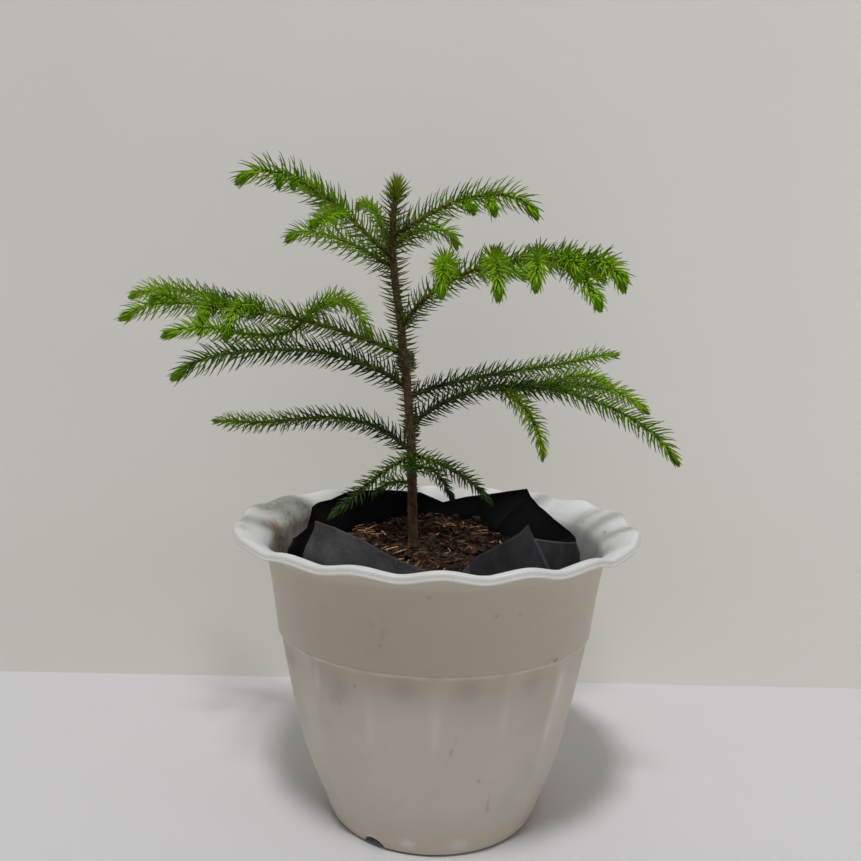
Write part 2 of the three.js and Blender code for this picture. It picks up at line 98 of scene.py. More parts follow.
def creasedNoise(points, size, seed, folds=7):
    # Sum of triangle waves in random directions: flat facets that meet in sharp folds.
    dice = np.random.default_rng(seed)
    directions = unit(dice.normal(size=(folds, 3))) * dice.uniform(0.6, 1.5, (folds, 1))
    turns = points @ directions.T / size + dice.uniform(0, 1, folds)
    return (4 * np.abs(turns - np.floor(turns) - 0.5) - 1).mean(1)


def wallQuads(rows, columns):  # the faces between neighbouring rings, each by its four corners' numbers
    row, column = np.meshgrid(np.arange(rows - 1), np.arange(columns), indexing="ij")
    a = (row * columns + column).ravel()
    b = (row * columns + (column + 1) % columns).ravel()
    return np.stack([a, b, b + columns, a + columns], -1)


def closedSkin(rings):
    # Rings (rows, columns, 3) joined row to row, with a fan to the middle of the first and last ring.
    # Faces point out where the columns run anticlockwise about the way that the rows run.
    rows, columns = rings.shape[:2]
    points = np.vstack([rings.reshape(-1, 3), rings[0].mean(0), rings[-1].mean(0)])
    near = np.arange(columns)
    far = (near + 1) % columns
    last = (rows - 1) * columns
    pole = np.full(columns, rows * columns)
    fans = np.vstack([np.stack([far, near, pole], -1), np.stack([last + near, last + far, pole + 1], -1)])
    return points, wallQuads(rows, columns), fans


def withPoles(values):  # a value at each corner of the rings, and none at the skin's two poles
    return np.append(values.ravel(), [0, 0])


def manySkins(rings):
    # Many small skins at once, from rings (skins, rows, columns, 3). The first is capped, the last a point.
    skins, rows, columns = rings.shape[:3]
    points = np.concatenate([rings[:, :-1].reshape(skins, -1, 3), rings[:, -1:, 0]], axis=1)
    near = np.arange(columns)
    last = (rows - 2) * columns
    tips = np.stack([last + near, last + (near + 1) % columns, np.full(columns, points.shape[1] - 1)], -1)
    caps = np.stack([np.zeros(columns - 2), near[2:], near[1:-1]], -1).astype(int)
    step = (np.arange(skins) * points.shape[1])[:, None, None]
    quads = (wallQuads(rows - 1, columns) + step).reshape(-1, 4)
    return points.reshape(-1, 3), quads, (np.vstack([tips, caps]) + step).reshape(-1, 3)


def joined(skins):  # several skins as one: each one's corner numbers are moved past those before it
    points, quads, tris = [], [], []
    first = 0
    for spots, fours, threes in skins:
        points.append(spots)
        quads.append(fours + first)
        tris.append(threes + first)
        first += len(spots)
    return np.vstack(points), np.vstack(quads), np.vstack(tris)


def tube(centres, side, up, radii):
    # Rings of radius radii, (rows, columns) or (rows, 1), about centres. side, up and the path make a
    # right-handed set.
    columns = radii.shape[1]
    angle = np.linspace(0, 2 * np.pi, columns, endpoint=False)[None, :, None]
    spokes = np.cos(angle) * side[:, None] + np.sin(angle) * up[:, None]
    return centres[:, None] + radii[..., None] * spokes


def addPiece(name, skin, slotName, replaced, material, smooth=True, **attributes):
    # Puts a skin's arrays, and a value a corner for each attribute, into a mesh that rides on the one body.
    points, quads, tris = skin
    mesh = bpy.data.meshes.new(name)
    mesh.vertices.add(len(points))
    mesh.vertices.foreach_set("co", (points * mm).astype(np.float32).ravel())
    mesh.loops.add(quads.size + tris.size)
    mesh.loops.foreach_set("vertex_index", np.concatenate([quads.ravel(), tris.ravel()]).astype(np.int32))
    mesh.polygons.add(len(quads) + len(tris))
    starts = np.concatenate([np.arange(len(quads)) * 4, quads.size + np.arange(len(tris)) * 3])
    mesh.polygons.foreach_set("loop_start", starts.astype(np.int32))
    mesh.update(calc_edges=True)
    mesh.validate()
    mesh.polygons.foreach_set("use_smooth", np.full(len(mesh.polygons), smooth))
    for label, values in attributes.items():
        layer = mesh.attributes.new(label, "FLOAT", "POINT")
        layer.data.foreach_set("value", np.asarray(values, np.float32).ravel())
    mesh.materials.append(material)
    piece = bpy.data.objects.new(name, mesh)
    bpy.context.scene.collection.objects.link(piece)
    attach(piece, "root")
    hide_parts(*replaced)
    print(f"  {name}: {len(quads) * 2 + len(tris)} triangles")
    return piece


# Materials: an effect that several of them use is a node group, and each shader stays in its own material.

def newGroup(name, result, **inputs):
    # An input is a vector where its value is a tuple, and else a number. There is one output, a number.
    group = bpy.data.node_groups.new(name, "ShaderNodeTree")
    for label, value in inputs.items():
        kind = "NodeSocketVector" if isinstance(value, tuple) else "NodeSocketFloat"
        group.interface.new_socket(label, in_out="INPUT", socket_type=kind).default_value = value
    group.interface.new_socket(result, in_out="OUTPUT", socket_type="NodeSocketFloat")
    source, out = group.nodes.new("NodeGroupInput"), group.nodes.new("NodeGroupOutput")
    return group, source.outputs, out.inputs[result]


def wire(tree, kind, settings=None, **links):
    # Adds a node. A key of links is an input's name, or "input" and its number; its value is a socket or a
    # constant.
    node = tree.nodes.new(kind)
    for label, value in (settings or {}).items():
        setattr(node, label, value)
    for label, value in links.items():
        number = label.removeprefix("input")
        key = int(number) if number.isdigit() else label.replace("_", " ")
        if isinstance(value, bpy.types.NodeSocket):
            tree.links.new(value, node.inputs[key])
        else:
            node.inputs[key].default_value = value
    return node


def times(tree, factor, share):
    return wire(tree, "ShaderNodeMath", {"operation": "MULTIPLY"}, input0=factor, input1=share).outputs[0]


def between(tree, factor, low, high):  # a mask from 0 to 1 as a value from low to high
    return wire(tree, "ShaderNodeMapRange", Value=factor, To_Min=low, To_Max=high).outputs["Result"]


def attributeOf(tree, name):
    return wire(tree, "ShaderNodeAttribute", {"attribute_name": name}).outputs["Fac"]


def blotchGroup():
    # Patches: 3-D noise of a given scale, stretched from Low and High to a mask from 0 to 1.
    group, given, mask = newGroup("blotches", "Mask", Vector=(0, 0, 0), Scale=40.0, Detail=4.0, Low=0.4,
                                  High=0.6)
    noise = wire(group, "ShaderNodeTexNoise", Vector=given["Vector"], Scale=given["Scale"],
                 Detail=given["Detail"])
    spread = wire(group, "ShaderNodeMapRange", Value=noise.outputs["Fac"], From_Min=given["Low"],
                  From_Max=given["High"])
    group.links.new(spread.outputs["Result"], mask)
    return group


def smudgeGroup():
    # One mark: full at its centre, gone at its reach along each axis, and broken up by noise.
    group, given, mask = newGroup("smudge", "Mask", Vector=(0, 0, 0), Centre=(0, 0, 0),
                                  Reach=(0.01, 0.01, 0.01), Scale=300.0, Low=0.4)
    away = wire(group, "ShaderNodeVectorMath", {"operation": "SUBTRACT"}, input0=given["Vector"],
                input1=given["Centre"])
    share = wire(group, "ShaderNodeVectorMath", {"operation": "DIVIDE"}, input0=away.outputs["Vector"],
                 input1=given["Reach"])
    length = wire(group, "ShaderNodeVectorMath", {"operation": "LENGTH"}, input0=share.outputs["Vector"])
    near = wire(group, "ShaderNodeMapRange", {"interpolation_type": "SMOOTHSTEP"},
                Value=length.outputs["Value"], From_Min=1.0, From_Max=0.0)
    noise = wire(group, "ShaderNodeTexNoise", Vector=given["Vector"], Scale=given["Scale"])
    broken = wire(group, "ShaderNodeMapRange", Value=noise.outputs["Fac"], From_Min=given["Low"],
                  From_Max=0.7)
    group.links.new(times(group, near.outputs["Result"], broken.outputs["Result"]), mask)
    return group


def grainGroup():
    # Height of a fine grain: a coarse noise, and one five times finer that is added in the share Fine.
    group, given, height = newGroup("grain", "Height", Vector=(0, 0, 0), Scale=400.0, Fine=0.4)
    coarse = wire(group, "ShaderNodeTexNoise", Vector=given["Vector"], Scale=given["Scale"])
    fine = wire(group, "ShaderNodeTexNoise", Vector=given["Vector"], Scale=times(group, given["Scale"], 5.0))
    both = wire(group, "ShaderNodeMath", {"operation": "MULTIPLY_ADD"}, input0=fine.outputs["Fac"],
                input1=given["Fine"], input2=coarse.outputs["Fac"])
    group.links.new(both.outputs[0], height)
    return group


effects = {"blotches": blotchGroup(), "smudge": smudgeGroup(), "grain": grainGroup()}


def effect(tree, name, **values):
    return wire(tree, "ShaderNodeGroup", {"node_tree": effects[name]}, **values).outputs[0]


def markAt(tree, spot, place, reach, scale, low):  # one smudge, its place and reach in millimetres
    return effect(tree, "smudge", Vector=spot, Centre=(np.array(place) * mm).tolist(),
                  Reach=(np.array(reach) * mm).tolist(), Scale=scale, Low=low)


def linear(colour):  # a colour as a screen shows it, 0 to 255, as the linear one that shaders and lights take
    share = np.array(colour) / 255
    bent = np.where(share <= 0.04045, share / 12.92, ((share + 0.055) / 1.055) ** 2.4)
    return (*bent.tolist(), 1.0)


def blend(tree, factor, low, high):  # mixes two colours, each a socket or a colour as a screen shows it
    low, high = [end if isinstance(end, bpy.types.NodeSocket) else linear(end) for end in (low, high)]
    mixed = wire(tree, "ShaderNodeMix", {"data_type": "RGBA"}, input0=factor, input6=low, input7=high)
    return mixed.outputs[2]


def newMaterial(name):  # with its shader, and the place on the object that its patterns read
    material = bpy.data.materials.new(name)
    material.use_nodes = True
    tree = material.node_tree
    spot = wire(tree, "ShaderNodeTexCoord").outputs["Object"]
    return material, tree, tree.nodes["Principled BSDF"], spot


def setSurface(tree, shader, colour, roughness, height=None, strength=0.3, depth=1, specular=0.5):
    # Links a surface's colour and roughness, and its relief, whose depth is in millimetres.
    tree.links.new(colour, shader.inputs["Base Color"])
    tree.links.new(roughness, shader.inputs["Roughness"])
    shader.inputs["Specular IOR Level"].default_value = specular
    if height is not None:
        bump = wire(tree, "ShaderNodeBump", Height=height, Strength=strength, Distance=depth * mm)
        tree.links.new(bump.outputs["Normal"], shader.inputs["Normal"])


view = {
    "place": (-9.54, -531.36, 303.04),
    "focal": 773.84,  # in pixels of the frame
    "frameSide": 861,
    "pitch": 4.51,  # degrees down
    "roll": 1.28,
    "yaw": 0.29,
    "sensor": 36,
    "nearest": 20,
}


def makeCamera():
    # The camera looks along pitch and yaw, then turns about that line by roll.
    pitch, roll, yaw = np.radians([view["pitch"], view["roll"], view["yaw"]])
    ahead = np.array([np.sin(yaw) * np.cos(pitch), np.cos(yaw) * np.cos(pitch), -np.sin(pitch)])
    right = unit(np.cross(ahead, [0, 0, 1]))
    up = np.cross(right, ahead)
    columns = np.eye(4)
    columns[:3, 0] = right * np.cos(roll) + up * np.sin(roll)
    columns[:3, 1] = up * np.cos(roll) - right * np.sin(roll)
    columns[:3, 2] = -ahead
    columns[:3, 3] = np.array(view["place"]) * mm
    data = bpy.data.cameras.new("mainCamera")
    data.sensor_width = view["sensor"]
    data.lens = view["focal"] * view["sensor"] / view["frameSide"]
    data.clip_start = view["nearest"] * mm
    camera = bpy.data.objects.new("mainCamera", data)
    camera.matrix_world = Matrix(columns.tolist())
    bpy.context.scene.collection.objects.link(camera)
    bpy.context.scene.camera = camera


stage = {
    "floorColour": (213, 211, 212),
    "wallColour": (244, 241, 234),
    "wallFootShade": (240, 236, 229),  # painted shade: the wall's darker colour at its foot, by the floor
    "wallFade": (260, 80),  # heights between which it turns from one to the other
    "wallDepth": 205,
    "wallHeight": 2400,
    "halfWidth": 2600,
    "unevenness": 3,  # how much lighter its patches are
    "skyLight": (149, 147, 143),
    "skyDark": (76, 68, 62),
    "skyAim": (-0.45, 0.35, 0.87),  # towards the sky's brightest place
    "skySpan": (-0.3, 0.9),  # how far along the aim the sky is darkest and lightest
    "lightAim": (0, 0, 150),
    # each light: place, size across and deep, power, colour
    "lights": {
        "ceilingLight": ((-500, -3000, 7450), (980, 980), 352, (248, 252, 255)),
        "sideLight": ((1300, -750, 740), (500, 500), 2.0, (250, 252, 255)),
    },
}


def flatSheet(name, corners, colour):
    # One plain face of the stage, whose colour varies a little in wide soft patches.
    mesh = bpy.data.meshes.new(name)
    mesh.from_pydata((np.array(corners) * mm).tolist(), [], [(0, 1, 2, 3)])
    material, tree, shader, spot = newMaterial(name)
    patches = effect(tree, "blotches", Vector=spot, Scale=2.0, Low=0.3, High=0.7)
    plain = blend(tree, patches, colour, np.array(colour) + stage["unevenness"])
    setSurface(tree, shader, plain, between(tree, patches, 0.5, 0.6))
    mesh.materials.append(material)
    sheet = bpy.data.objects.new(name, mesh)
    bpy.context.scene.collection.objects.link(sheet)
    return tree, shader, spot, plain


def makeFloorAndWall():
    wide, deep, high = stage["halfWidth"], stage["wallDepth"], stage["wallHeight"]
    flatSheet("floor", [(-wide, -wide, 0), (wide, -wide, 0), (wide, wide, 0), (-wide, wide, 0)],
              stage["floorColour"])
    corners = [(-wide, deep, 0), (wide, deep, 0), (wide, deep, high), (-wide, deep, high)]
    tree, shader, spot, plain = flatSheet("wall", corners, stage["wallColour"])
    # Painted shade: the wall darkens towards its foot, by the floor.
    start, end = np.array(stage["wallFade"]) * mm
    height = wire(tree, "ShaderNodeSeparateXYZ", Vector=spot).outputs["Z"]
    low = wire(tree, "ShaderNodeMapRange", {"interpolation_type": "SMOOTHSTEP"}, Value=height, From_Min=start,
               From_Max=end)
    tree.links.new(blend(tree, low.outputs["Result"], plain, stage["wallFootShade"]), shader.inputs["Base Color"])
    # From behind the wall is clear, so that the plant shows from every side.
    behind = wire(tree, "ShaderNodeNewGeometry").outputs["Backfacing"]
    clear = wire(tree, "ShaderNodeBsdfTransparent")
    both = wire(tree, "ShaderNodeMixShader", input0=behind, input1=shader.outputs[0], input2=clear.outputs[0])
    tree.links.new(both.outputs[0], tree.nodes["Material Output"].inputs["Surface"])


def makeLights():
    for name, (place, size, power, colour) in stage["lights"].items():
        data = bpy.data.lights.new(name, "AREA")
        data.shape = "RECTANGLE"
        data.size, data.size_y = np.array(size) * mm
        data.energy = power
        data.color = linear(colour)[:3]
        lamp = bpy.data.objects.new(name, data)
        lamp.location = np.array(place) * mm
        aim = Vector(stage["lightAim"]) - Vector(place)
        lamp.rotation_euler = aim.to_track_quat("-Z", "Y").to_euler()
        bpy.context.scene.collection.objects.link(lamp)


def makeSky():
    # The sky's light grows with how far a heading goes along the aim, which is overhead and behind the wall.
    world = bpy.data.worlds.new("studio")
    world.use_nodes = True
    tree = world.node_tree
    heading = wire(tree, "ShaderNodeTexCoord").outputs["Generated"]
    along = wire(tree, "ShaderNodeVectorMath", {"operation": "DOT_PRODUCT"}, input0=heading,
                 input1=stage["skyAim"])
    dark, light = stage["skySpan"]
    bright = wire(tree, "ShaderNodeMapRange", Value=along.outputs["Value"], From_Min=dark, From_Max=light)
    sky = blend(tree, bright.outputs["Result"], stage["skyDark"], stage["skyLight"])
    tree.links.new(sky, tree.nodes["Background"].inputs["Color"])
    bpy.context.scene.world = world
    bpy.context.scene.view_settings.view_transform = "Standard"


makeCamera()
makeFloorAndWall()
makeLights()
makeSky()
print("stage: camera, floor, wall and lights")

pot = {
    "wall": 2.2,
    "floor": 3,
    # radius and height up the outside, from the foot to where the wall flares, along a ridge between flutes
    "outside": [(68.5, 0), (71.0, 1.2), (72.7, 4), (76.8, 15), (84.2, 34), (90.5, 53), (94.6, 69), (98.4, 85),
                (101.6, 101), (104.4, 115), (107.0, 129.5), (108.5, 141), (110.8, 157), (115.4, 181)],
    # the flare's underside, the lip with a bead at its foot, and the flare's inner face
    "rim": [(116.2, 182.8), (118.6, 186.0), (122.4, 188.6), (127.4, 190.8), (131.6, 191.8), (134.2, 191.8),
            (135.6, 191.8), (136.5, 191.9), (136.8, 192.3), (136.5, 192.8), (136.1, 193.4), (136.0, 194.1),
            (136.1, 194.9), (135.8, 195.7), (135.0, 196.4), (133.4, 196.7), (128.6, 195.3), (122.8, 192.1),
            (118.0, 188.4), (114.6, 184.4)],
    # rows of the mesh up the outside and down the inside: from, to, how many; and those along the rim
    "outsideRows": [(0, 3.2, 5), (4, 120, 46), (121, 135, 30), (137, 181, 18)],
    "insideRows": [(182, 130, 14), (124, 4.5, 14)],
    "rimRows": 66,
    # rim rows on the flare's underside that take the film, there painted shade under the rim
    "filmedRimRows": 16,
    "columns": 432,
    "footRings": (20, 45, 64, 67),
    "floorRings": (68, 45, 20),
    "lipEdge": 192.2,
    "leftward": 1.5,  # how far the shell stands left of its foot from this height up
    "leftwardFrom": 80,
    "waves": 18,
    "flutes": 16,
    "ridgeAzimuth": 270,
    "crestAzimuth": 270.833,
    "flare": (116.5, 136.6),  # radii between which the waves grow
    "innerFlare": (114, 129.6),
    "waveSharpness": 1.9,
    "ruffleRise": 1.9,
    "ruffleReach": 1.5,
    "backRuffle": 0.4,  # share of the front's waves at the back left
    "backAzimuth": 130,
    "backRise": 5,  # how much higher the rim stands at the back
    "backRiseFrom": (150, 186),
    "fluteDepth": 2.6,
    "fluteTop": 129.2,
    "archDrop": 1.2,  # how far a flute's top corners lie under the middle of its arch
    "archFade": 3,
    # the crease along each trough of the flare's inner face: depth, width in degrees, and the radii where it
    # starts, is full, fades and ends
    "creaseDrop": 1.1,
    "creaseWidth": 1.5,
    "creaseSpan": (114, 119, 130, 134.5),
    "bandHeight": 129.5,
    "bandStep": 0.25,
    "bandEdge": (-1.2, 0.2),  # above the band's height: where the step rises, and where it fades out again
    "bandFade": (15, 50),
    "beadReach": 0.3,
    "beadWidth": 0.6,
    "notches": 3,
    "notchAzimuth": 239,
    "notchRadius": 8,
    "notchSpan": (62.5, 78.5),
    "plastic": (230, 230, 228),
    "plasticShade": (216, 214, 209),
    "film": (204, 193, 177),  # a thin dull film on the outside; where it is laid on thickest it is painted shade
    "filmAndShadeShares": (0.72, 1.0),  # on the flutes and on the band; the band's full share is painted shade under the rim
    "footShade": 0.3,  # painted shade: how much more film darkens the foot
    "roughness": (0.34, 0.48),
    "dirt": (128, 112, 92),
    "algae": (138, 142, 122),
    "rust": (148, 108, 62),
    "grime": (70, 58, 40),
    # painted highlight: the pale line along the band's bead and the lip's lower edge
    "beadHighlight": (230, 222, 212),
    # painted highlight at the flutes' feet
    "pale": (224, 224, 212),
    # painted shade in the flutes' tops
    "hollow": (170, 158, 148),
    # painted highlight down the ridges
    "ridge": (232, 228, 226),
    "green": (188, 196, 176),
    "greenTinge": 0.12,
    "fineDirt": 0.14,
    # the kinds of marks in the order that they go on: list, colour, and the least noise that they show on
    "markLayers": [("hollowShades", "hollow", -0.5), ("ridgeHighlights", "ridge", -0.5), ("greens", "green", 0.1),
                   ("smudges", "dirt", 0.36), ("paleHighlights", "pale", 0.2), ("grimes", "grime", 0.36),
                   ("algaeMarks", "algae", 0.24), ("rustMarks", "rust", 0.1), ("innerGrimesAndShade", "grime", 0.2)],
    "innerMarks": ("algaeMarks", "rustMarks", "innerGrimesAndShade"),
    # each mark: place, reach along each axis, strength
    # painted shade in the flutes' tops under the band, painted highlights down the ridges between them, and a
    # green tinge near the foot
    "hollowShades": [((-59, -86, 112), (13, 13, 15), 0.5), ((-21, -104, 119), (14, 12, 13), 0.6),
                ((18, -104, 120), (13, 12, 13), 0.6), ((58, -87, 118), (12, 12, 14), 0.5),
                ((-94, -49, 116), (8, 12, 14), 0.5)],
    "ridgeHighlights": [((-39, -94, 92), (5, 8, 38), 0.3), ((-1, -102, 98), (6, 8, 36), 0.3),
               ((40, -93, 96), (6, 8, 36), 0.3), ((-73, -76, 112), (4, 6, 22), 0.7),
               ((77, -66, 104), (7, 8, 24), 0.8), ((70, -66, 80), (6, 9, 26), 0.5)],
    "greens": [((-65, -51, 30), (14, 18, 24), 0.7), ((46, -71, 34), (14, 14, 20), 0.6),
               ((58, -68, 52), (10, 14, 20), 0.6), ((-88, -44, 82), (10, 18, 40), 0.35)],
    "smudges": [((-35, -105, 157), (9, 16, 16), 0.3), ((-36, -104, 143), (8, 12, 6), 0.25),
                ((68, -82, 131), (8, 10, 4), 0.5), ((-62, -82, 104), (8, 8, 7), 0.35),
                ((12, -99, 87), (2, 6, 5), 0.6), ((9, -97, 79), (2, 6, 6), 0.7),
                ((6, -95, 72), (1.6, 6, 5), 0.5), ((33, -78, 36), (2.4, 8, 12), 0.6),
                ((-128, 27, 202), (7, 12, 5), 0.5)],
    # painted highlights: pale patches where the flutes' feet catch the light at the front
    "paleHighlights": [((-16, -74, 9), (8, 8, 7), 1.0), ((16, -74, 9), (9, 8, 7), 1.0)],
    "grimes": [((-99, -32, 123), (5, 6, 6), 0.8), ((-97, -36, 116), (4, 6, 5), 0.8),
               ((71, -80, 131), (2.4, 5, 3), 0.9)],
    "algaeMarks": [((-119, 48, 201), (16, 22, 8), 1.0), ((-104, 64, 196), (14, 18, 10), 1.0),
                   ((-126, 30, 199), (12, 20, 7), 0.7), ((-133, -10, 198), (9, 16, 8), 0.7),
                   ((-130, -27, 196), (9, 12, 7), 0.7), ((-112, 40, 188), (14, 24, 14), 0.9),
                   ((-121, 2, 193), (10, 14, 6), 0.7)],
    "rustMarks": [((-122, 8, 186), (8, 14, 12), 1.0), ((-116, 12, 189), (10, 16, 12), 1.0),
                  ((-112, 12, 180), (12, 26, 16), 1.0),
                  ((-108, 24, 168), (13, 34, 18), 1.0), ((-106, 42, 182), (12, 20, 14), 0.7),
                  ((-99, 58, 184), (12, 16, 13), 0.55)],
    # small dark specks inside the rim, and a painted shade inside the rim just left of the bag's corner
    "innerGrimesAndShade": [((109, 39, 192), (2, 3, 1.6), 0.9), ((117, 4, 192), (2.4, 3.4, 1.8), 0.9),
                    ((-98, 60, 184), (14, 18, 14), 0.7)],
    "specks": [(-33, -104, 147), (-67, -88, 157), (32, -108, 166), (46, -103, 166), (-6, -115, 178),
               (12, -102, 111), (-48, -92, 118), (26, -86, 58)],
    "speckReach": 2.2,
    "speckStrength": 0.75,
}


def potPlastic():
    # Pale plastic under its film, which also paints shade on the band, under the rim and at the foot; then
    # painted highlights along the bead lines, faint dirt, and each mark over those before it, some of them
    # painted light.
    material, tree, shader, spot = newMaterial("potPlastic")
    filmed = attributeOf(tree, "filmed")
    patches = effect(tree, "blotches", Vector=spot, Scale=22.0, Detail=5.0, Low=0.3, High=0.75)
    colour = blend(tree, patches, pot["plastic"], pot["plasticShade"])
    colour = blend(tree, filmed, colour, pot["film"])
    # painted highlight along the bead lines
    colour = blend(tree, attributeOf(tree, "beaded"), colour, pot["beadHighlight"])
    tinge = effect(tree, "blotches", Vector=spot, Scale=60.0, Detail=8.0, Low=0.55, High=0.8)
    colour = blend(tree, times(tree, tinge, pot["greenTinge"]), colour, pot["algae"])
    dirt = effect(tree, "blotches", Vector=spot, Scale=420.0, Detail=2.0, Low=0.72, High=0.78)
    colour = blend(tree, times(tree, dirt, pot["fineDirt"]), colour, pot["dirt"])
    # Marks on the inner face stay off the filmed outside of the same wall.
    inside = between(tree, filmed, 1.0, 0.0)
    for kind, shade, low in pot["markLayers"]:
        for place, reach, strength in pot[kind]:
            mark = markAt(tree, spot, place, reach, 240.0, low)
            if kind in pot["innerMarks"]:
                mark = times(tree, mark, inside)
            colour = blend(tree, times(tree, mark, strength), colour, pot[shade])
    for place in pot["specks"]:
        mark = markAt(tree, spot, place, [pot["speckReach"]] * 3, 900.0, 0.3)
        colour = blend(tree, times(tree, mark, pot["speckStrength"]), colour, pot["dirt"])
    grain = effect(tree, "grain", Vector=spot, Scale=900.0, Fine=0.5)
    dullness = between(tree, patches, *pot["roughness"])
    setSurface(tree, shader, colour, dullness, grain, 0.12, 0.3, specular=0.4)
    return material


def potOutline():
    # Radius and height of each row: out over the foot, up the outside, over the lip, down the inside and in
    # over the floor. The outside steps out at the band, with a fine bead along the step. It also tells which
    # rows have the film, which also paints shade under the rim.
    ridgeRadii, ridgeHeights = np.array(pot["outside"]).T
    heights = rowsThrough(pot["outsideRows"])
    above = heights - pot["bandHeight"]
    radii = smoothThrough(heights, ridgeHeights, ridgeRadii)
    radii += pot["bandStep"] * ramp(*pot["bandEdge"], above) * (1 - ramp(*pot["bandFade"], above))
    radii += pot["beadReach"] * np.exp(-(above / pot["beadWidth"]) ** 2)
    insideHeights = rowsThrough(pot["insideRows"])
    insideRadii = smoothThrough(insideHeights, ridgeHeights, ridgeRadii) - pot["wall"]
    foot = np.array([(radius, 0) for radius in pot["footRings"]])
    floor = np.array([(radius, pot["floor"]) for radius in pot["floorRings"]])
    outline = np.vstack([foot, np.stack([radii, heights], -1), curveThrough(pot["rim"], pot["rimRows"]),
                         np.stack([insideRadii, insideHeights], -1), floor])
    onFilmAndShade = np.zeros((len(outline), 1))
    onFilmAndShade[len(foot):len(foot) + len(heights) + pot["filmedRimRows"]] = 1
    return outline, onFilmAndShade


def makePot():
    # The outline is turned about Z. The rim's rings rise and reach out in waves, with sharper troughs inside,
    # and the wall under the band is hollowed between ridges that run in step with the waves. The wall keeps
    # its thickness, so its inside is fluted too.
    outline, onFilmAndShade = potOutline()
    radius, height = outline[:, :1], outline[:, 1:]
    azimuth = (pot["ridgeAzimuth"] + np.arange(pot["columns"]) * 360 / pot["columns"])[None]

    # On the flare's inner face, past the lip's top, the waves start deeper in, and a crease runs along each
    # trough.
    pastTop = (np.arange(len(outline)) > np.argmax(outline[:, 1]))[:, None]
    flare = np.where(pastTop, ramp(*pot["innerFlare"], radius), ramp(*pot["flare"], radius)) * (height > 180)
    turn = np.radians(pot["waves"] * (azimuth - pot["crestAzimuth"]))
    wave = 2 * np.abs(np.cos(turn / 2)) ** pot["waveSharpness"] - 1
    backward = 0.5 + 0.5 * np.cos(np.radians(azimuth - pot["backAzimuth"]))
    ruffle = flare * wave * (1 - (1 - pot["backRuffle"]) * backward)
    fromTrough = np.abs(turn / (2 * np.pi) % 1 - 0.5) * 360 / pot["waves"]
    start, full, fade, end = pot["creaseSpan"]
    crease = pastTop * ramp(start, full, radius) * (1 - ramp(fade, end, radius))
    crease = crease * np.exp(-(fromTrough / pot["creaseWidth"]) ** 2)
    crease = crease * (0.35 + 0.65 * ramp(-0.4, 0.5, np.cos(np.radians(azimuth))))

    # A flute is a rounded hollow between two ridges, and it ends in an arch under the band.
    fluteTurn = np.radians(pot["flutes"] * (azimuth - pot["ridgeAzimuth"]))
    fromRidge = np.abs((fluteTurn + np.pi) % (2 * np.pi) - np.pi) / np.pi
    rounded = np.sqrt(fromRidge ** 2 + 0.006) - 0.077
    archTop = pot["fluteTop"] - pot["archDrop"] * (1 - fromRidge) ** 2
    fade = 1 - (1 - np.clip((archTop - height) / pot["archFade"], 0, 1)) ** 2.2
    onFlute = (height > 3.5) & (height < 130)
    depth = pot["fluteDepth"] * rounded * (2 - rounded) * fade * ramp(0, 60, height) * onFlute

    atBack = ramp(-0.3, 0.25, np.sin(np.radians(azimuth))) * ramp(*pot["backRiseFrom"], height)
    risen = pot["backRise"] * atBack + ruffle * pot["ruffleRise"] - pot["creaseDrop"] * crease
    rings = around(azimuth, radius + ruffle * pot["ruffleReach"] - depth, height + risen)
    rings[..., 0] -= pot["leftward"] * ramp(0, pot["leftwardFrom"], rings[..., 2])

    # The film's share, which also paints shade: full on the band and under the rim, which lie in the rim's
    # shadow, and heavier at the foot.
    thin, thick = pot["filmAndShadeShares"]
    share = thin + (thick - thin) * ramp(92, 126, height) + pot["footShade"] * (1 - ramp(4, 46, height))
    filmed = onFilmAndShade * share * np.ones_like(wave)
    # Painted highlights: pale lines along the lip's lower edge and along the band's bead, where they catch
    # the light.
    onLip = np.exp(-((height - pot["lipEdge"]) / 0.4) ** 2) * (radius > 135.6)
    onBand = np.exp(-((height - pot["bandHeight"]) / 0.4) ** 2) * onFilmAndShade * ramp(0.05, 0.3, fromRidge)
    shell = addPiece("potShell", closedSkin(rings), "pot_plastic", ["pot"], potPlastic(),
                     filmed=withPoles(filmed), beaded=withPoles(onLip + 0.8 * onBand))
    cutNotches(shell)


def cutNotches(shell):
    # Drain notches: level round bars that lie across the foot are cut out of the shell.
    angle = np.linspace(0, 2 * np.pi, 40, endpoint=False)[:, None]
    near, far = pot["notchSpan"]
    bars = []
    for azimuth in pot["notchAzimuth"] + 360 * np.arange(pot["notches"]) / pot["notches"]:
        out, side = around(azimuth, 1, 0), around(azimuth + 90, 1, 0)
        ring = pot["notchRadius"] * (np.cos(angle) * side + np.sin(angle) * [0, 0, 0.9])
        bars.append(closedSkin(np.stack([out * near + ring, out * far + ring])))
    points, quads, tris = joined(bars)
    mesh = bpy.data.meshes.new("notchBars")
    mesh.from_pydata((points * mm).tolist(), [], quads.tolist() + tris.tolist())
    cutter = bpy.data.objects.new("notchBars", mesh)
    bpy.context.scene.collection.objects.link(cutter)
    cut = shell.modifiers.new("notches", "BOOLEAN")
    cut.operation, cut.solver, cut.object = "DIFFERENCE", "MANIFOLD", cutter
    finished = bpy.data.meshes.new_from_object(shell.evaluated_get(bpy.context.evaluated_depsgraph_get()))
    shell.modifiers.remove(cut)
    shell.data = finished
    bpy.data.objects.remove(cutter)


makePot()
print("pot: shell with its rim, flutes and notches")

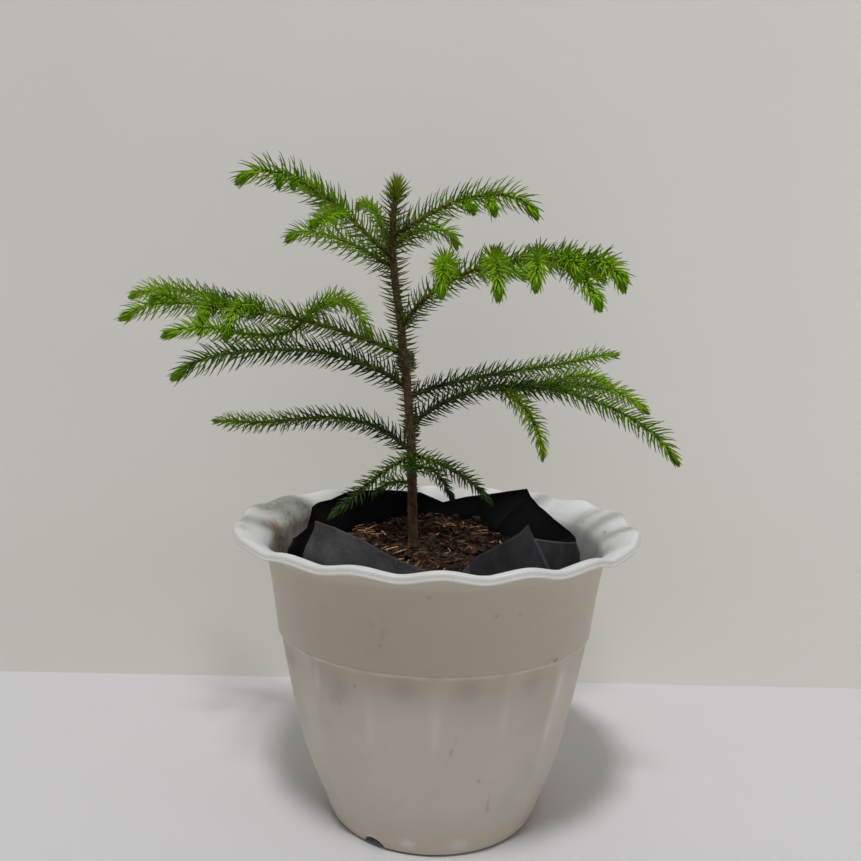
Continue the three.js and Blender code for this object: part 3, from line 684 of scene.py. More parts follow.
bag = {
    "centre": (2, 3),
    "foot": 3.3,
    "film": 0.3,
    "wall": [(60, 0), (82, 57), (89, 147)],  # radius, height above the foot
    # azimuth, height above the ground and radius at each corner of the rim
    "rim": [(5, 188.5, 94), (12, 191.5, 92), (20, 195, 90), (33, 200.8, 90), (39, 207, 90), (41.8, 212.6, 90),
            (52.4, 208.7, 90), (62.5, 204.9, 90), (76, 200.8, 90), (88, 195.5, 90), (100, 203.5, 90),
            (120, 206.5, 90), (140.8, 208.3, 90), (153, 204, 92), (162.9, 203.9, 94), (170.7, 202.7, 94),
            (173.6, 196, 94), (180, 189.5, 94), (186, 187, 99), (192, 188, 102), (198, 191, 101),
            (201, 199, 93), (203, 203, 90.5), (207, 203.8, 90), (220.8, 204, 90), (230.8, 202.1, 90),
            (238.9, 199, 90), (246.6, 194.5, 90), (253.4, 191, 90), (263.2, 186, 90), (271, 178, 90),
            (277.8, 186.9, 90), (282.9, 194.8, 90), (293.5, 202.1, 90), (300, 206.7, 90), (304.5, 211.5, 90),
            (307.5, 202.3, 90), (318, 198.4, 90), (333, 193.5, 91), (350, 189, 93)],
    # azimuth, and how far the film is drawn in there at the level of the mix
    "drawnIn": [(0, 10), (12, 30), (20, 35), (42, 35), (60, 22), (80, 9), (110, 6), (150, 13), (172, 14),
                (182, 4), (190, -2), (196, -5), (204, -8), (212, -6), (225, -2), (240, 0), (330, -2),
                (352, -3)],
    "drawnHeights": (146, 175, 179),  # above the ground: where it starts, where it is drawn most, up to where
    "rows": 106,
    "columnTurn": 0.8,  # degrees between columns, besides one at each corner of the rim
    "footRings": (20, 40),
    "crumple": 1.3,
    "crumpleSize": 46,
    "fineCrumple": 0.5,
    "crumpleFrom": (120, 185),
    # creases across the film: azimuth and height above the ground at both ends
    "creases": [((307.5, 202), (312, 192)), ((312, 192), (316, 181))],
    "creaseRise": 0.7,
    "creaseWidth": 1.3,
    "flatRadius": 90,
    "black": (9, 9, 11),
    "greyed": (100, 98, 103),
    "worn": (132, 126, 134),
    "wornShare": 0.45,
    "wornEdge": 0.7,
    "wornEdgeSpan": (306, 345),
    "dust": (124, 108, 88),
    "soil": (96, 74, 50),
    "soiledCorner": ((-75, -44, 203), (13, 12, 6)),
    # the flaps that show their outside: azimuths, how dusty and how soiled each is
    "flaps": [((203.5, 280), 0.85, 0.6), ((280, 365), 0.42, 0.1)],
}


def bagRim(azimuth):  # height above the foot and radius of the rim, straight between its corners
    rim = np.array([*bag["rim"], (bag["rim"][0][0] + 360, *bag["rim"][0][1:])])
    turned = (azimuth - rim[0, 0]) % 360 + rim[0, 0]
    return np.interp(turned, rim[:, 0], rim[:, 1]) - bag["foot"], np.interp(turned, rim[:, 0], rim[:, 2])


def bagRadius(azimuth, height):
    # The wall's curve, which leans out to the rim's own radius, less what the film is drawn in at the mix.
    wallRadii, wallHeights = np.array(bag["wall"]).T
    rimHeight, rimRadius = bagRim(azimuth)
    radius = smoothThrough(height.ravel(), wallHeights, wallRadii).reshape(height.shape)
    lean = ramp(0, 0.45, (height - wallHeights[-1]) / np.maximum(rimHeight - wallHeights[-1], 1))
    places, amounts = np.array([*bag["drawnIn"], (360, bag["drawnIn"][0][1])]).T
    low, most, high = np.array(bag["drawnHeights"]) - bag["foot"]
    drawn = np.interp(azimuth % 360, places, amounts) * ramp(low, most, height)
    drawn = drawn * (1 - ramp(high, np.maximum(rimHeight, high + 4), height))
    return radius + (rimRadius - wallRadii[-1]) * lean - drawn


def bagFilm():
    # Black film under a veil of dust, with flecks, one soiled corner, and pale worn creases.
    material, tree, shader, spot = newMaterial("bagFilm")
    haze = effect(tree, "blotches", Vector=spot, Scale=55.0, Detail=6.0, Low=0.1, High=0.65)
    veil = times(tree, haze, attributeOf(tree, "dusty"))
    colour = blend(tree, veil, bag["black"], bag["greyed"])
    flecks = effect(tree, "blotches", Vector=spot, Scale=520.0, Detail=6.0, Low=0.56, High=0.74)
    colour = blend(tree, times(tree, flecks, attributeOf(tree, "soiled")), colour, bag["dust"])
    colour = blend(tree, markAt(tree, spot, *bag["soiledCorner"], 420.0, 0.36), colour, bag["soil"])
    colour = blend(tree, times(tree, attributeOf(tree, "worn"), bag["wornShare"]), colour, bag["worn"])
    wrinkles = effect(tree, "grain", Vector=spot, Scale=170.0, Fine=0.35)
    setSurface(tree, shader, colour, between(tree, veil, 0.7, 0.6), wrinkles, 0.5, 0.6, specular=0.06)
    return material


def creaseMask(azimuth, height):
    # 1 on a crease's line, and down to 0 by the nearest line's distance over the crease's width. Distances
    # are those on the film laid flat: how far round, at the wall's radius, and how high.
    flat = np.radians(1) * bag["flatRadius"]
    nearest = np.full(height.shape, np.inf)
    for (firstAzimuth, firstHeight), (lastAzimuth, lastHeight) in bag["creases"]:
        run = np.array([(lastAzimuth - firstAzimuth) * flat, lastHeight - firstHeight])
        across, up = (azimuth - firstAzimuth) * flat, height - firstHeight
        share = np.clip((across * run[0] + up * run[1]) / (run @ run), 0, 1)
        nearest = np.minimum(nearest, np.hypot(across - share * run[0], up - share * run[1]))
    return np.clip(1 - nearest / bag["creaseWidth"], 0, 1)


def makeBag():
    # Each column runs up the wall to the rim. Creased noise dents the film, most near the rim. The inner face
    # follows the outer one, a film's thickness in.
    corners = np.array([corner[0] for corner in bag["rim"]])
    evenly = np.arange(corners[0], corners[0] + 360, bag["columnTurn"])
    evenly = evenly[np.abs(evenly[:, None] - corners).min(1) > 0.35]
    azimuth = np.unique(np.concatenate([corners, evenly]))
    rimHeight, _ = bagRim(azimuth)
    height = np.linspace(0, 1, bag["rows"])[:, None] ** 0.7 * rimHeight
    azimuths = azimuth + 0 * height
    radius = bagRadius(azimuths, height)
    spots = around(azimuth, radius, height).reshape(-1, 3)
    dents = creasedNoise(spots * [1, 1, 0.6], bag["crumpleSize"], 3).reshape(height.shape)
    small = creasedNoise(spots, bag["crumpleSize"] / 3, 8).reshape(height.shape)
    crumpled = ramp(*bag["crumpleFrom"], height) * (bag["crumple"] * dents + bag["fineCrumple"] * small)
    creased = creaseMask(azimuths, height + bag["foot"])
    radius = radius + crumpled + bag["creaseRise"] * creased
    outer = around(azimuth, radius, height)
    inner = around(azimuth, radius - bag["film"], np.maximum(height, bag["film"]))[::-1]
    footRings = np.array(bag["footRings"], float)[:, None]
    foot, floor = around(azimuth, footRings, 0), around(azimuth, footRings[::-1], bag["film"])
    rings = np.concatenate([foot, outer, inner, floor]) + [*bag["centre"], bag["foot"]]

    # The film is dusty and soiled on the outside of its flaps, and worn pale along its creases and cut edge.
    outside = (np.arange(len(rings)) < len(foot) + len(outer))[:, None]
    dusty, soiled, flap = np.zeros((3, len(azimuth)))
    for (start, end), dust, soil in bag["flaps"]:
        within = (azimuth >= start) & (azimuth < end)
        dusty, soiled, flap = dusty + dust * within, soiled + soil * within, flap + within
    start, end = bag["wornEdgeSpan"]
    cutEdge = np.exp(-((height / rimHeight - 1) / 0.002) ** 2) * (azimuth > start) * (azimuth < end)
    worn = np.zeros(rings.shape[:2])
    worn[len(foot):len(foot) + len(outer)] = np.maximum(creased, bag["wornEdge"] * cutEdge) * flap
    addPiece("growBag", closedSkin(rings), "bag_film", ["grow_bag"], bagFilm(),
             dusty=withPoles(outside * dusty), soiled=withPoles(outside * soiled), worn=withPoles(worn))


makeBag()
print("bag: film with its folds")

mix = {
    "height": 181.5,
    "tilt": 0.075,
    "droop": 6,
    "droopRadius": 89,
    "edgeDrop": 3.5,
    "trunkFoot": (-16.8, 0),
    "footHeight": 178.9,
    "footFlat": (4, 12),  # how far from the trunk's axis the mix is level, and joins its mound
    "lumps": [(30, 1.7), (10, 1.2), (4, 0.6), (2.0, 0.25)],  # size and height of each layer of lumps
    "edge": 1.8,  # clear of the bag
    "edgeLevel": 179.5,  # height that the mix's edge is measured at
    "columns": 400,
    "moundRows": 150,
    "wallHeights": (1.5, 20, 57, 100, 140, 150, 158, 165, 171),
    "footRing": 30,
    "spreadRadius": 82,
    "clearOfTrunk": 7,
    "dark": (28, 20, 15),
    "light": (70, 48, 38),
}


def mixEdge(azimuth):  # radius of the mix's top
    return bagRadius(azimuth, mix["edgeLevel"] - bag["foot"] + 0 * azimuth) - mix["edge"]


def fromTrunk(x, y):
    return np.hypot(x - mix["trunkFoot"][0], y - mix["trunkFoot"][1])


def mixHeight(x, y):
    # Height of the mix: a slightly tilted, drooping mound with layers of lumps, sunk to the trunk's foot.
    east, north = x - bag["centre"][0], y - bag["centre"][1]
    away = np.hypot(east, north)
    height = mix["height"] + mix["tilt"] * north - mix["droop"] * (away / mix["droopRadius"]) ** 4
    flat = np.stack([x, y, np.zeros_like(x)], -1)
    for seed, (size, rise) in enumerate(mix["lumps"], 30):
        height = height + rise * softNoise(flat, size, seed)
    height = height - mix["edgeDrop"] * ramp(0.9, 1, away / mixEdge(np.degrees(np.arctan2(north, east))))
    return height + (mix["footHeight"] - height) * (1 - ramp(*mix["footFlat"], fromTrunk(x, y)))


def mixMaterial(name, look, scale, roughness):
    # Patches from a look's dark to its light colour, dull where they are dark, with a rough grain.
    material, tree, shader, spot = newMaterial(name)
    patches = effect(tree, "blotches", Vector=spot, Scale=scale, Detail=6.0, Low=0.42, High=0.66)
    colour = blend(tree, patches, look["dark"], look["light"])
    grain = effect(tree, "grain", Vector=spot, Scale=scale * 4, Fine=0.6)
    dullness = between(tree, patches, roughness, roughness - 0.15)
    setSurface(tree, shader, colour, dullness, grain, 0.7, 0.8, specular=0.25)
    return material


def makeMix():
    # Rings about the bag's axis: up inside the bag's wall, then over the lumpy mound to its middle.
    azimuth = np.arange(mix["columns"]) * 360 / mix["columns"]
    heights = np.array(mix["wallHeights"])[:, None] + 0 * azimuth
    wall = around(azimuth, bagRadius(azimuth + 0 * heights, heights) - mix["edge"], heights)
    mound = around(azimuth, np.linspace(1, 0.01, mix["moundRows"])[:, None] * mixEdge(azimuth), 0)
    x, y = mound[..., 0].ravel() + bag["centre"][0], mound[..., 1].ravel() + bag["centre"][1]
    mound[..., 2] = mixHeight(x, y).reshape(mound.shape[:2]) - bag["foot"]
    foot = around(azimuth, np.array([[mix["footRing"]]]), mix["wallHeights"][0])
    rings = np.concatenate([foot, wall, mound]) + [*bag["centre"], bag["foot"]]
    peat = mixMaterial("peat", mix, 240.0, 0.98)
    addPiece("pottingMix", closedSkin(rings), "potting_mix", ["potting_mix"], peat)


def spread(count):  # even random places over the mix, as x and y, clear of its edge and the trunk
    angle, share = random.uniform(0, 360, count), np.sqrt(random.uniform(0, 1, count))
    radius = mix["spreadRadius"] * share
    x, y, _ = (around(angle, radius, 0) + [*bag["centre"], 0]).T
    kept = (radius < mixEdge(angle) - 1) & (fromTrunk(x, y) > mix["clearOfTrunk"])
    return x[kept], y[kept]


clods = {
    "count": 2000,
    "size": (1.6, 0.42, 0.35),  # radii: a gamma spread's shape and scale, and the least of them
    "squeeze": (0.45, 1.5),
    "dents": (0.7, 1.3),
    # radius and height of each ring of a ball of radius 1, and how many corners a ring has
    "fall": (0.25, 0.85, 1.0, 0.7, 0.0),
    "rise": (-0.9, -0.45, 0.2, 0.75, 1.0),
    "columns": 7,
    "sits": 0.3,  # share of its radius that its middle stands over the mix
    "dark": (28, 20, 15),
    "light": (92, 64, 46),
}


def makeClods():
    # Crumbs: balls of a few rings, each squeezed, turned and dented at random.
    x, y = spread(clods["count"])
    shape, scale, least = clods["size"]
    size = random.gamma(shape, scale, len(x))[:, None, None, None] + least
    fall, rise = np.array(clods["fall"])[:, None], np.array(clods["rise"])[:, None]
    turn = np.linspace(0, 2 * np.pi, clods["columns"], endpoint=False)
    ball = np.stack([fall * np.cos(turn), fall * np.sin(turn), rise + 0 * turn], -1)
    rings = ball * random.uniform(*clods["squeeze"], (len(x), 1, 1, 3))
    rings = rings * random.uniform(*clods["dents"], (len(x), *ball.shape[:2], 1)) * size
    rings[:, -1] = rings[:, -1, :1]
    turned = np.linalg.qr(random.normal(size=(len(x), 3, 3)))[0]
    turned *= np.sign(np.linalg.det(turned))[:, None, None]
    rings = np.einsum("nij,nrcj->nrci", turned, rings)
    rings += np.stack([x, y, mixHeight(x, y) + clods["sits"] * size.ravel()], -1)[:, None, None]
    surface = mixMaterial("clods", clods, 330.0, 0.97)
    addPiece("mixClods", manySkins(rings), "potting_mix", ["potting_mix"], surface)


fibres = {
    "count": 2600,
    "length": (2, 12),
    "width": (0.15, 2.15),  # most are near the least
    "raised": -0.1,  # over the mix
    "curl": 0.25,
    "dark": (46, 32, 24),
    "light": (128, 92, 66),
}
straws = {
    "count": 34,
    "length": (6, 13),
    "width": (0.4, 1.0),
    "raised": 1.5,
    "curl": 0.12,
    # places where straws lie together: x, y, number, longest; how far they stray, and the shortest's share
    "heaps": [(-31, -44, 12, 22), (-26, -40, 10, 18), (-35, -18, 6, 14), (-48, 24, 9, 16),
              (-58, 40, 5, 12), (-46, 66, 4, 12), (10, 50, 9, 13), (24, 44, 9, 14), (33, 26, 6, 12),
              (13, 14, 5, 11), (6, -56, 6, 16), (36, 2, 4, 12)],
    "stray": (4.5, 3.5),
    "shortest": 0.45,
    "dark": (168, 124, 84),
    "light": (238, 196, 142),
}


def slivers(x, y, length, width, raised, curl):
    # Flat slivers: each lies along a random heading, bends by curl, and is widest at its middle.
    heading, pitch = random.uniform(0, 2 * np.pi, len(x)), random.normal(0, 0.16, len(x))
    along = np.stack([np.cos(heading) * np.cos(pitch), np.sin(heading) * np.cos(pitch), np.sin(pitch)], -1)
    side = unit(np.cross(along, [0, 0, 1]) + random.normal(0, 0.35, (len(x), 3)))
    up = unit(np.cross(side, along))
    share = np.linspace(-0.5, 0.5, 6)[None, :, None]
    middle = np.stack([x, y, mixHeight(x, y) + raised + np.abs(np.sin(pitch)) * length / 2], -1)[:, None]
    bend = (curl * random.normal(size=len(x)) * length)[:, None, None]
    arch = (0.25 - share ** 2) * (0.1 * length * random.uniform(0, 1, len(x)))[:, None, None]
    spine = middle + share * length[:, None, None] * along[:, None] + (share ** 2) * bend * side[:, None]
    spine = spine + arch * up[:, None]
    offMiddle = 2 * np.abs(share + 0.1 * random.normal(size=(len(x), 1, 1)))
    wide = np.clip(width[:, None, None] * (1 - 0.6 * offMiddle ** 2), 0.12, None)
    corners = [(0, -0.4), (-1, 0), (0, 0.4), (1, 0)]  # anticlockwise about the spine
    rings = np.stack([spine + wide * (a * side[:, None] + b * up[:, None]) for a, b in corners], 2)
    rings[:, -1] = rings[:, -1].mean(1, keepdims=True)
    return rings


def makeFibres():
    # Bark fibres all over the mix, most of them thin.
    x, y = spread(fibres["count"])
    length = random.uniform(*fibres["length"], len(x))
    width = np.interp(random.uniform(0, 1, len(x)) ** 4, [0, 1], fibres["width"])
    rings = slivers(x, y, length, width, fibres["raised"], fibres["curl"])
    surface = mixMaterial("barkFibres", fibres, 180.0, 0.8)
    addPiece("barkFibres", manySkins(rings), "potting_mix", ["potting_mix"], surface, smooth=False)


def makeStraws():
    # A few straws all over the mix, and the rest in heaps that spread normally about their places.
    x, y = spread(straws["count"])
    length = random.uniform(*straws["length"], len(x))
    for heapX, heapY, number, longest in straws["heaps"]:
        x = np.append(x, heapX + random.normal(0, straws["stray"][0], number))
        y = np.append(y, heapY + random.normal(0, straws["stray"][1], number))
        length = np.append(length, random.uniform(straws["shortest"], 1, number) * longest)
    width = random.uniform(*straws["width"], len(x))
    rings = slivers(x, y, length, width, straws["raised"], straws["curl"])
    surface = mixMaterial("paleStraws", straws, 260.0, 0.75)
    addPiece("paleStraws", manySkins(rings), "potting_mix", ["potting_mix"], surface, smooth=False)


makeMix()
makeClods()
makeFibres()
makeStraws()
print("potting mix: mound, clods, fibres and straws")

trunk = {
    # height, lean across, radius
    "stations": [(178.3, -16.8, 4.9), (182, -17, 4.0), (192, -17.6, 3.5), (230, -19, 3.2), (255, -20.2, 3.0),
                 (285, -22.9, 2.8), (315, -26.5, 2.7), (340, -29.7, 2.6), (358, -32.6, 2.5),
                 (385, -35.3, 2.4), (405, -35.1, 2.1), (424, -33.3, 1.1)],
    "columns": 56,
    "rowHeight": 0.35,
    "scalyFrom": (205, 236),  # heights between which the bare foot turns to leaf cushions
    "toe": (178.3, 186),  # heights between which the foot's toes fade
    "dark": (76, 60, 44),
    "light": (116, 92, 70),
    "scale": 260.0,
    "roughness": 0.85,
}
stationHeights, stationLeans, stationRadii = np.array(trunk["stations"]).T

# side, height on the trunk, azimuth, sweep, length, rise at root, middle and tip, twigs
# each twig: share of the bough's length, turn off the bough, length, rise at root, middle and tip
boughTable = {
    "top": [
        ("left", 377, 208, 8, 120, (35, 28, -20),
         [(0.36, 42, 50, (-10, -16, -30)), (0.38, -47, 34, (25, 40, 15))]),
        ("right", 391, 345, 0, 105, (33, 15, -34),
         [(0.49, -49, 19, (-17, -24, -50)), (0.64, -53, 21, (-17, -37, -58))]),
        ("left_back", 371, 150, 0, 97, (28, 21, -4), []),
        ("right_back", 385, 44, 0, 67, (34, 17, -35), []),
        ("back", 381, 112, 2, 92, (45, 35, 6), []),
    ],
    "upper": [
        ("right", 330, 322, -2, 174, (54, 6, -8),
         [(0.29, -57, 69, (22, -4, -79)), (0.48, -50, 61, (10, -19, -76)), (0.68, -60, 46, (8, -24, -66)),
          (0.79, -36, 50, (-28, -32, -50)), (0.4, 52, 38, (8, 0, -25)), (0.56, 42, 59, (4, 0, -50))]),
        ("left", 313, 179, -4, 200, (22, 9, -6),
         [(0.36, 34, 94, (-50, 7, -29)), (0.51, 68, 48, (30, -25, -85)), (0.64, 75, 38, (22, -30, -85)),
          (0.36, -112, 104, (36, 0, -66)), (0.49, -22, 124, (6, 13, -20))]),
        ("left_front", 290, 204, 0, 159, (36, 2, -16), []),
        ("back", 302, 92, 0, 112, (14, 4, -14), []),
    ],
    "middle": [
        ("right_back", 284, 26, 0, 182, (21, 8, 20), []),
        ("right", 264, 341, 5, 197, (44, -6, -41),
         [(0.38, 36, 84, (-20, 16, -55)), (0.5, 28, 77, (4, -7, -45)), (0.35, -43, 67, (-21, -34, -85))]),
        ("left", 245, 160, -9, 176, (47, -6, 16), []),
        ("back", 254, 91, 0, 120, (16, 2, -18), []),
    ],
    "lower": [
        ("left", 243, 215, 0, 72, (-16, -33, -36), []),
        ("right", 244, 335, 0, 66, (-8, -23, -53), []),
        ("front", 237, 268, 0, 30, (16, -2, -20), []),
        ("right_back", 233, 40, 0, 50, (27, -39, -56), []),
        ("left_back", 224, 150, 0, 36, (7, -18, -67), []),
    ],
}

# How each tier looks: stem radius at the root, needle length, how many needles a centimetre of stem carries,
# how fresh its growth is at the root and at the tip (0 old and dark, 1 new and bright), the share of a bough
# whose stem is brown, its buds' kind of needle, how far its boughs' tips nod, and how much shorter the
# needles are at a tip.
tiers = {
    "top": {"root": 1.6, "needle": 16, "perCm": 17, "fresh": (0.42, 0.8), "twigFresh": (0.7, 0.95),
            "brown": 0.74, "bud": "budScales", "nod": 26, "shorter": 0.2},
    "upper": {"root": 1.7, "needle": 15, "perCm": 18, "fresh": (0.36, 0.85), "twigFresh": (0.62, 1.0),
              "brown": 0.62, "bud": "budScales", "nod": 26, "shorter": 0.2},
    "middle": {"root": 1.6, "needle": 12.5, "perCm": 19, "fresh": (0.02, 0.7), "twigFresh": (0.4, 1.0),
               "brown": 0.18, "bud": "needlesLeaf", "nod": 16, "shorter": 0.3},
    "lower": {"root": 1.2, "needle": 10.5, "perCm": 19, "fresh": (0.5, 0.05), "twigFresh": (0.2, 0.3),
              "brown": 0.18, "bud": "needlesDark", "nod": 0, "shorter": 0.45},
}
agedBoughs = ("upper_left_front", "upper_back")  # their growth is older than their tier's
shadedBoughs = ("top_back", "upper_back", "middle_back")  # their needles are short
limbShape = {
    "bare": 0.17,  # share of a bough
    "endTaper": 0.8,  # share of its radius where its bare stretch ends
    "twigRadius": 1.0,
    "tipRadius": 0.6,
}

# Finer shoots of the last growth: bough, share of its length, azimuth, length, rise at root, middle and tip.
shootTable = [
    ("top_left", 0.76, 262, 9, (-10, -45, -75)),
    ("top_left", 0.66, 262, 13, (20, -20, -60)),
    ("top_left", 0.55, 120, 20, (40, 20, 0)),
    ("upper_left", 0.63, 255, 34, (10, -15, -50)),
    ("upper_left", 0.8, 250, 26, (20, 5, -40)),
    ("upper_right", 0.86, 292, 40, (0, -22, -62)),
    ("upper_right", 0.75, 285, 36, (5, -18, -60)),
]


def headingAt(limb, share):
    # Unit heading of a limb: it swings by sweep, its rise runs through the three lifts by a parabola, and its
    # tip nods. With it come the level and the upright direction across it.
    azimuth = np.radians(limb["azimuth"] + limb["sweep"] * share)
    root, middle, tip = limb["lifts"]
    lift = root * (1 - share) * (1 - 2 * share) + middle * 4 * share * (1 - share)
    lift = lift + tip * share * (2 * share - 1)
    lift = np.radians(lift - limb["nod"] * ramp(0.82, 1, share))
    ahead = np.stack([np.cos(lift) * np.cos(azimuth), np.cos(lift) * np.sin(azimuth), np.sin(lift)], -1)
    side = np.stack([-np.sin(azimuth), np.cos(azimuth), 0 * azimuth], -1)
    return ahead, side, np.cross(ahead, side)


def placeAt(limb, share):
    # Place on a limb: its headings summed in fine steps from its start.
    steps = np.linspace(0, 1, 401)
    ahead = headingAt(limb, (steps[1:] + steps[:-1]) / 2)[0]
    run = np.vstack([np.zeros(3), np.cumsum(ahead, 0)]) * limb["length"] / (len(steps) - 1)
    return np.stack([np.interp(share, steps, run[:, k]) for k in range(3)], -1) + limb["start"]


def trunkAt(height):  # the trunk's axis, which leans in X only
    lean = smoothThrough(height, stationHeights, stationLeans)
    return np.stack([lean, 0 * lean, np.asarray(height, float)], -1)


def branchFrom(parent, share, azimuth, length, lifts):  # a twig that leaves its bough at a share of it
    return {**parent, "start": placeAt(parent, np.array([share]))[0], "azimuth": azimuth, "sweep": 0,
            "length": length, "lifts": lifts, "nod": 0, "twig": True}


def allLimbs():
    # Every bough, followed by its own twigs, and the finer shoots last.
    limbs = []
    for tier, rows in boughTable.items():
        for side, height, azimuth, sweep, length, lifts, twigs in rows:
            bough = {"tier": tier, "node": f"{tier}_{side}", "start": trunkAt(np.array([height]))[0],
                     "azimuth": azimuth, "sweep": sweep, "length": length, "lifts": lifts,
                     "nod": tiers[tier]["nod"], "twig": False}
            limbs.append(bough)
            limbs += [branchFrom(bough, share, azimuth + sweep * share + turn, reach, rises)
                      for share, turn, reach, rises in twigs]
    boughs = {limb["node"]: limb for limb in limbs if not limb["twig"]}
    return limbs + [branchFrom(boughs[node], *shoot) for node, *shoot in shootTable]


limbs = allLimbs()


def barkMaterial(name, look):
    # Patches from the dark to the light colour, smoother where they are light, with a grain that is finer.
    material, tree, shader, spot = newMaterial(name)
    patches = effect(tree, "blotches", Vector=spot, Scale=look["scale"], Detail=6.0, Low=0.35, High=0.65)
    colour = blend(tree, patches, look["dark"], look["light"])
    grain = effect(tree, "grain", Vector=spot, Scale=look["scale"] * 3, Fine=0.5)
    dullness = between(tree, patches, look["roughness"], look["roughness"] - 0.12)
    setSurface(tree, shader, colour, dullness, grain, 0.5, 0.4, specular=0.3)
    return material


def cushions(angle, along, rise, pitch=1.15):
    # Leaf cushions: two families of spiral waves cross, and their product stands up in a diamond pattern.
    one = np.cos(5 * angle + 2 * np.pi * along / (5 * pitch))
    other = np.cos(8 * angle - 2 * np.pi * along / (8 * pitch))
    return rise * (np.clip(one, -0.4, 1) * 0.5 + np.clip(other, -0.4, 1) * 0.5)


def makeTrunk():
    # Rings about the leaning axis. The bare foot has fine streaks and five toes, and above it the leaf
    # cushions stand out.
    height = np.arange(stationHeights[0], stationHeights[-1], trunk["rowHeight"])[:, None]
    angle = np.linspace(0, 2 * np.pi, trunk["columns"], endpoint=False)[None]
    radius = smoothThrough(height.ravel(), stationHeights, stationRadii)[:, None]
    centres = trunkAt(height.ravel())
    spots = (centres[:, None] + radius[..., None] * levelHeading(angle)).reshape(-1, 3)
    streaks = softNoise(spots * [1, 1, 0.16], 2.2, 41).reshape(len(radius), -1)
    rough = softNoise(spots, 1.7, 42).reshape(streaks.shape)
    scaly = ramp(*trunk["scalyFrom"], height) * cushions(angle, height, 0.26)
    toes = 0.5 * np.cos(5 * angle + 0.7) * (1 - ramp(*trunk["toe"], height))
    tipFade = np.minimum(1, (stationHeights[-1] - height) / 6)
    radii = radius + (0.1 * streaks + 0.07 * rough + scaly + toes) * tipFade
    side, up = (np.broadcast_to(np.array(way, float), centres.shape) for way in ((1, 0, 0), (0, 1, 0)))
    skin = closedSkin(tube(centres, side, up, radii))
    addPiece("trunkBark", skin, "bark", ["trunk"], barkMaterial("trunkBark", trunk))


# each kind of stem: columns, how far its cushions stand out as a share of its radius, look, and its nodes
stems = {
    "boughBark": {"columns": 16, "relief": 0.14, "nodes": "bough_", "slot": "bark", "material": "boughBark",
                  "dark": (60, 48, 28), "light": (88, 72, 42), "scale": 380.0, "roughness": 0.85},
    "youngStems": {"columns": 12, "relief": 0.16, "nodes": "needles_", "slot": "bark",
                   "material": "youngBark", "dark": (92, 70, 28), "light": (128, 98, 40), "scale": 380.0,
                   "roughness": 0.7},
    "greenStems": {"columns": 10, "relief": 0.14, "nodes": "needles_", "slot": "needles_new",
                   "material": "greenShoots", "dark": (60, 76, 24), "light": (98, 118, 36), "scale": 300.0,
                   "roughness": 0.6},
}


def radiusAt(limb, share):
    # A bough tapers over its bare limb and on to its tip; a twig tapers all the way.
    if limb["twig"]:
        return np.interp(share, [0, 1], [limbShape["twigRadius"], limbShape["tipRadius"]])
    root = tiers[limb["tier"]]["root"]
    return np.interp(share, [0, limbShape["bare"], 1],
                     [root, root * limbShape["endTaper"], limbShape["tipRadius"]])


def stemRings(limb, low, high, columns, relief):
    # Rings along a limb from one share of its length to another, about 0.8 mm apart, with leaf cushions.
    share = np.linspace(low, high, max(6, int((high - low) * limb["length"] / 0.8)))
    _, side, up = headingAt(limb, share)
    angle = np.linspace(0, 2 * np.pi, columns, endpoint=False)[None]
    along = share[:, None] * limb["length"]
    radii = radiusAt(limb, share)[:, None] * (1 + relief * cushions(angle, along, 1.0, 1.3))
    return tube(placeAt(limb, share), side, up, radii)


def makeStems():
    # A bough is bare wood, then a young brown stem, then a green shoot, and each starts a little way inside
    # the one before it. A twig is green all along.
    skins = {name: [] for name in stems}
    bare, overlap = limbShape["bare"], 0.01
    for limb in limbs:
        woody = bare + overlap if limb["node"] in agedBoughs else tiers[limb["tier"]]["brown"]
        spans = {"greenStems": (0, 1)} if limb["twig"] else {
            "boughBark": (0, bare), "youngStems": (bare - overlap, woody), "greenStems": (woody - overlap, 1)}
        for name, span in spans.items():
            rings = stemRings(limb, *span, stems[name]["columns"], stems[name]["relief"])
            skins[name].append(closedSkin(rings))
    for name, look in stems.items():
        surface = barkMaterial(look["material"], look)
        addPiece(name, joined(skins[name]), look["slot"], nodesNamed(look["nodes"]), surface)


makeTrunk()
makeStems()
print("bark: trunk, boughs and twigs")

needle = {
    "goldenTurn": 137.508,
    "lean": 64,  # off the stem at its foot
    "leanSpread": 5,
    "tipLift": 30,  # how much less a bough's last needles lean
    "hook": 0.42,  # share of its heading that it gives up to the stem's by its tip
    "tipHook": 0.6,  # how much more the last ones do
    "tipStretch": 26,  # the length of stem that counts as the tip
    "endGap": 3,
    "width": 1.28,
    "flatness": 0.85,
    "sink": 0.4,
    "stations": (0, 0.18, 0.42, 0.68, 0.88, 1),  # along a needle
    "taper": (1, 0.98, 0.84, 0.58, 0.3, 0),
    "twigDensity": 1.15,
    "twigLength": 0.88,
    "shadedLength": 0.62,
}

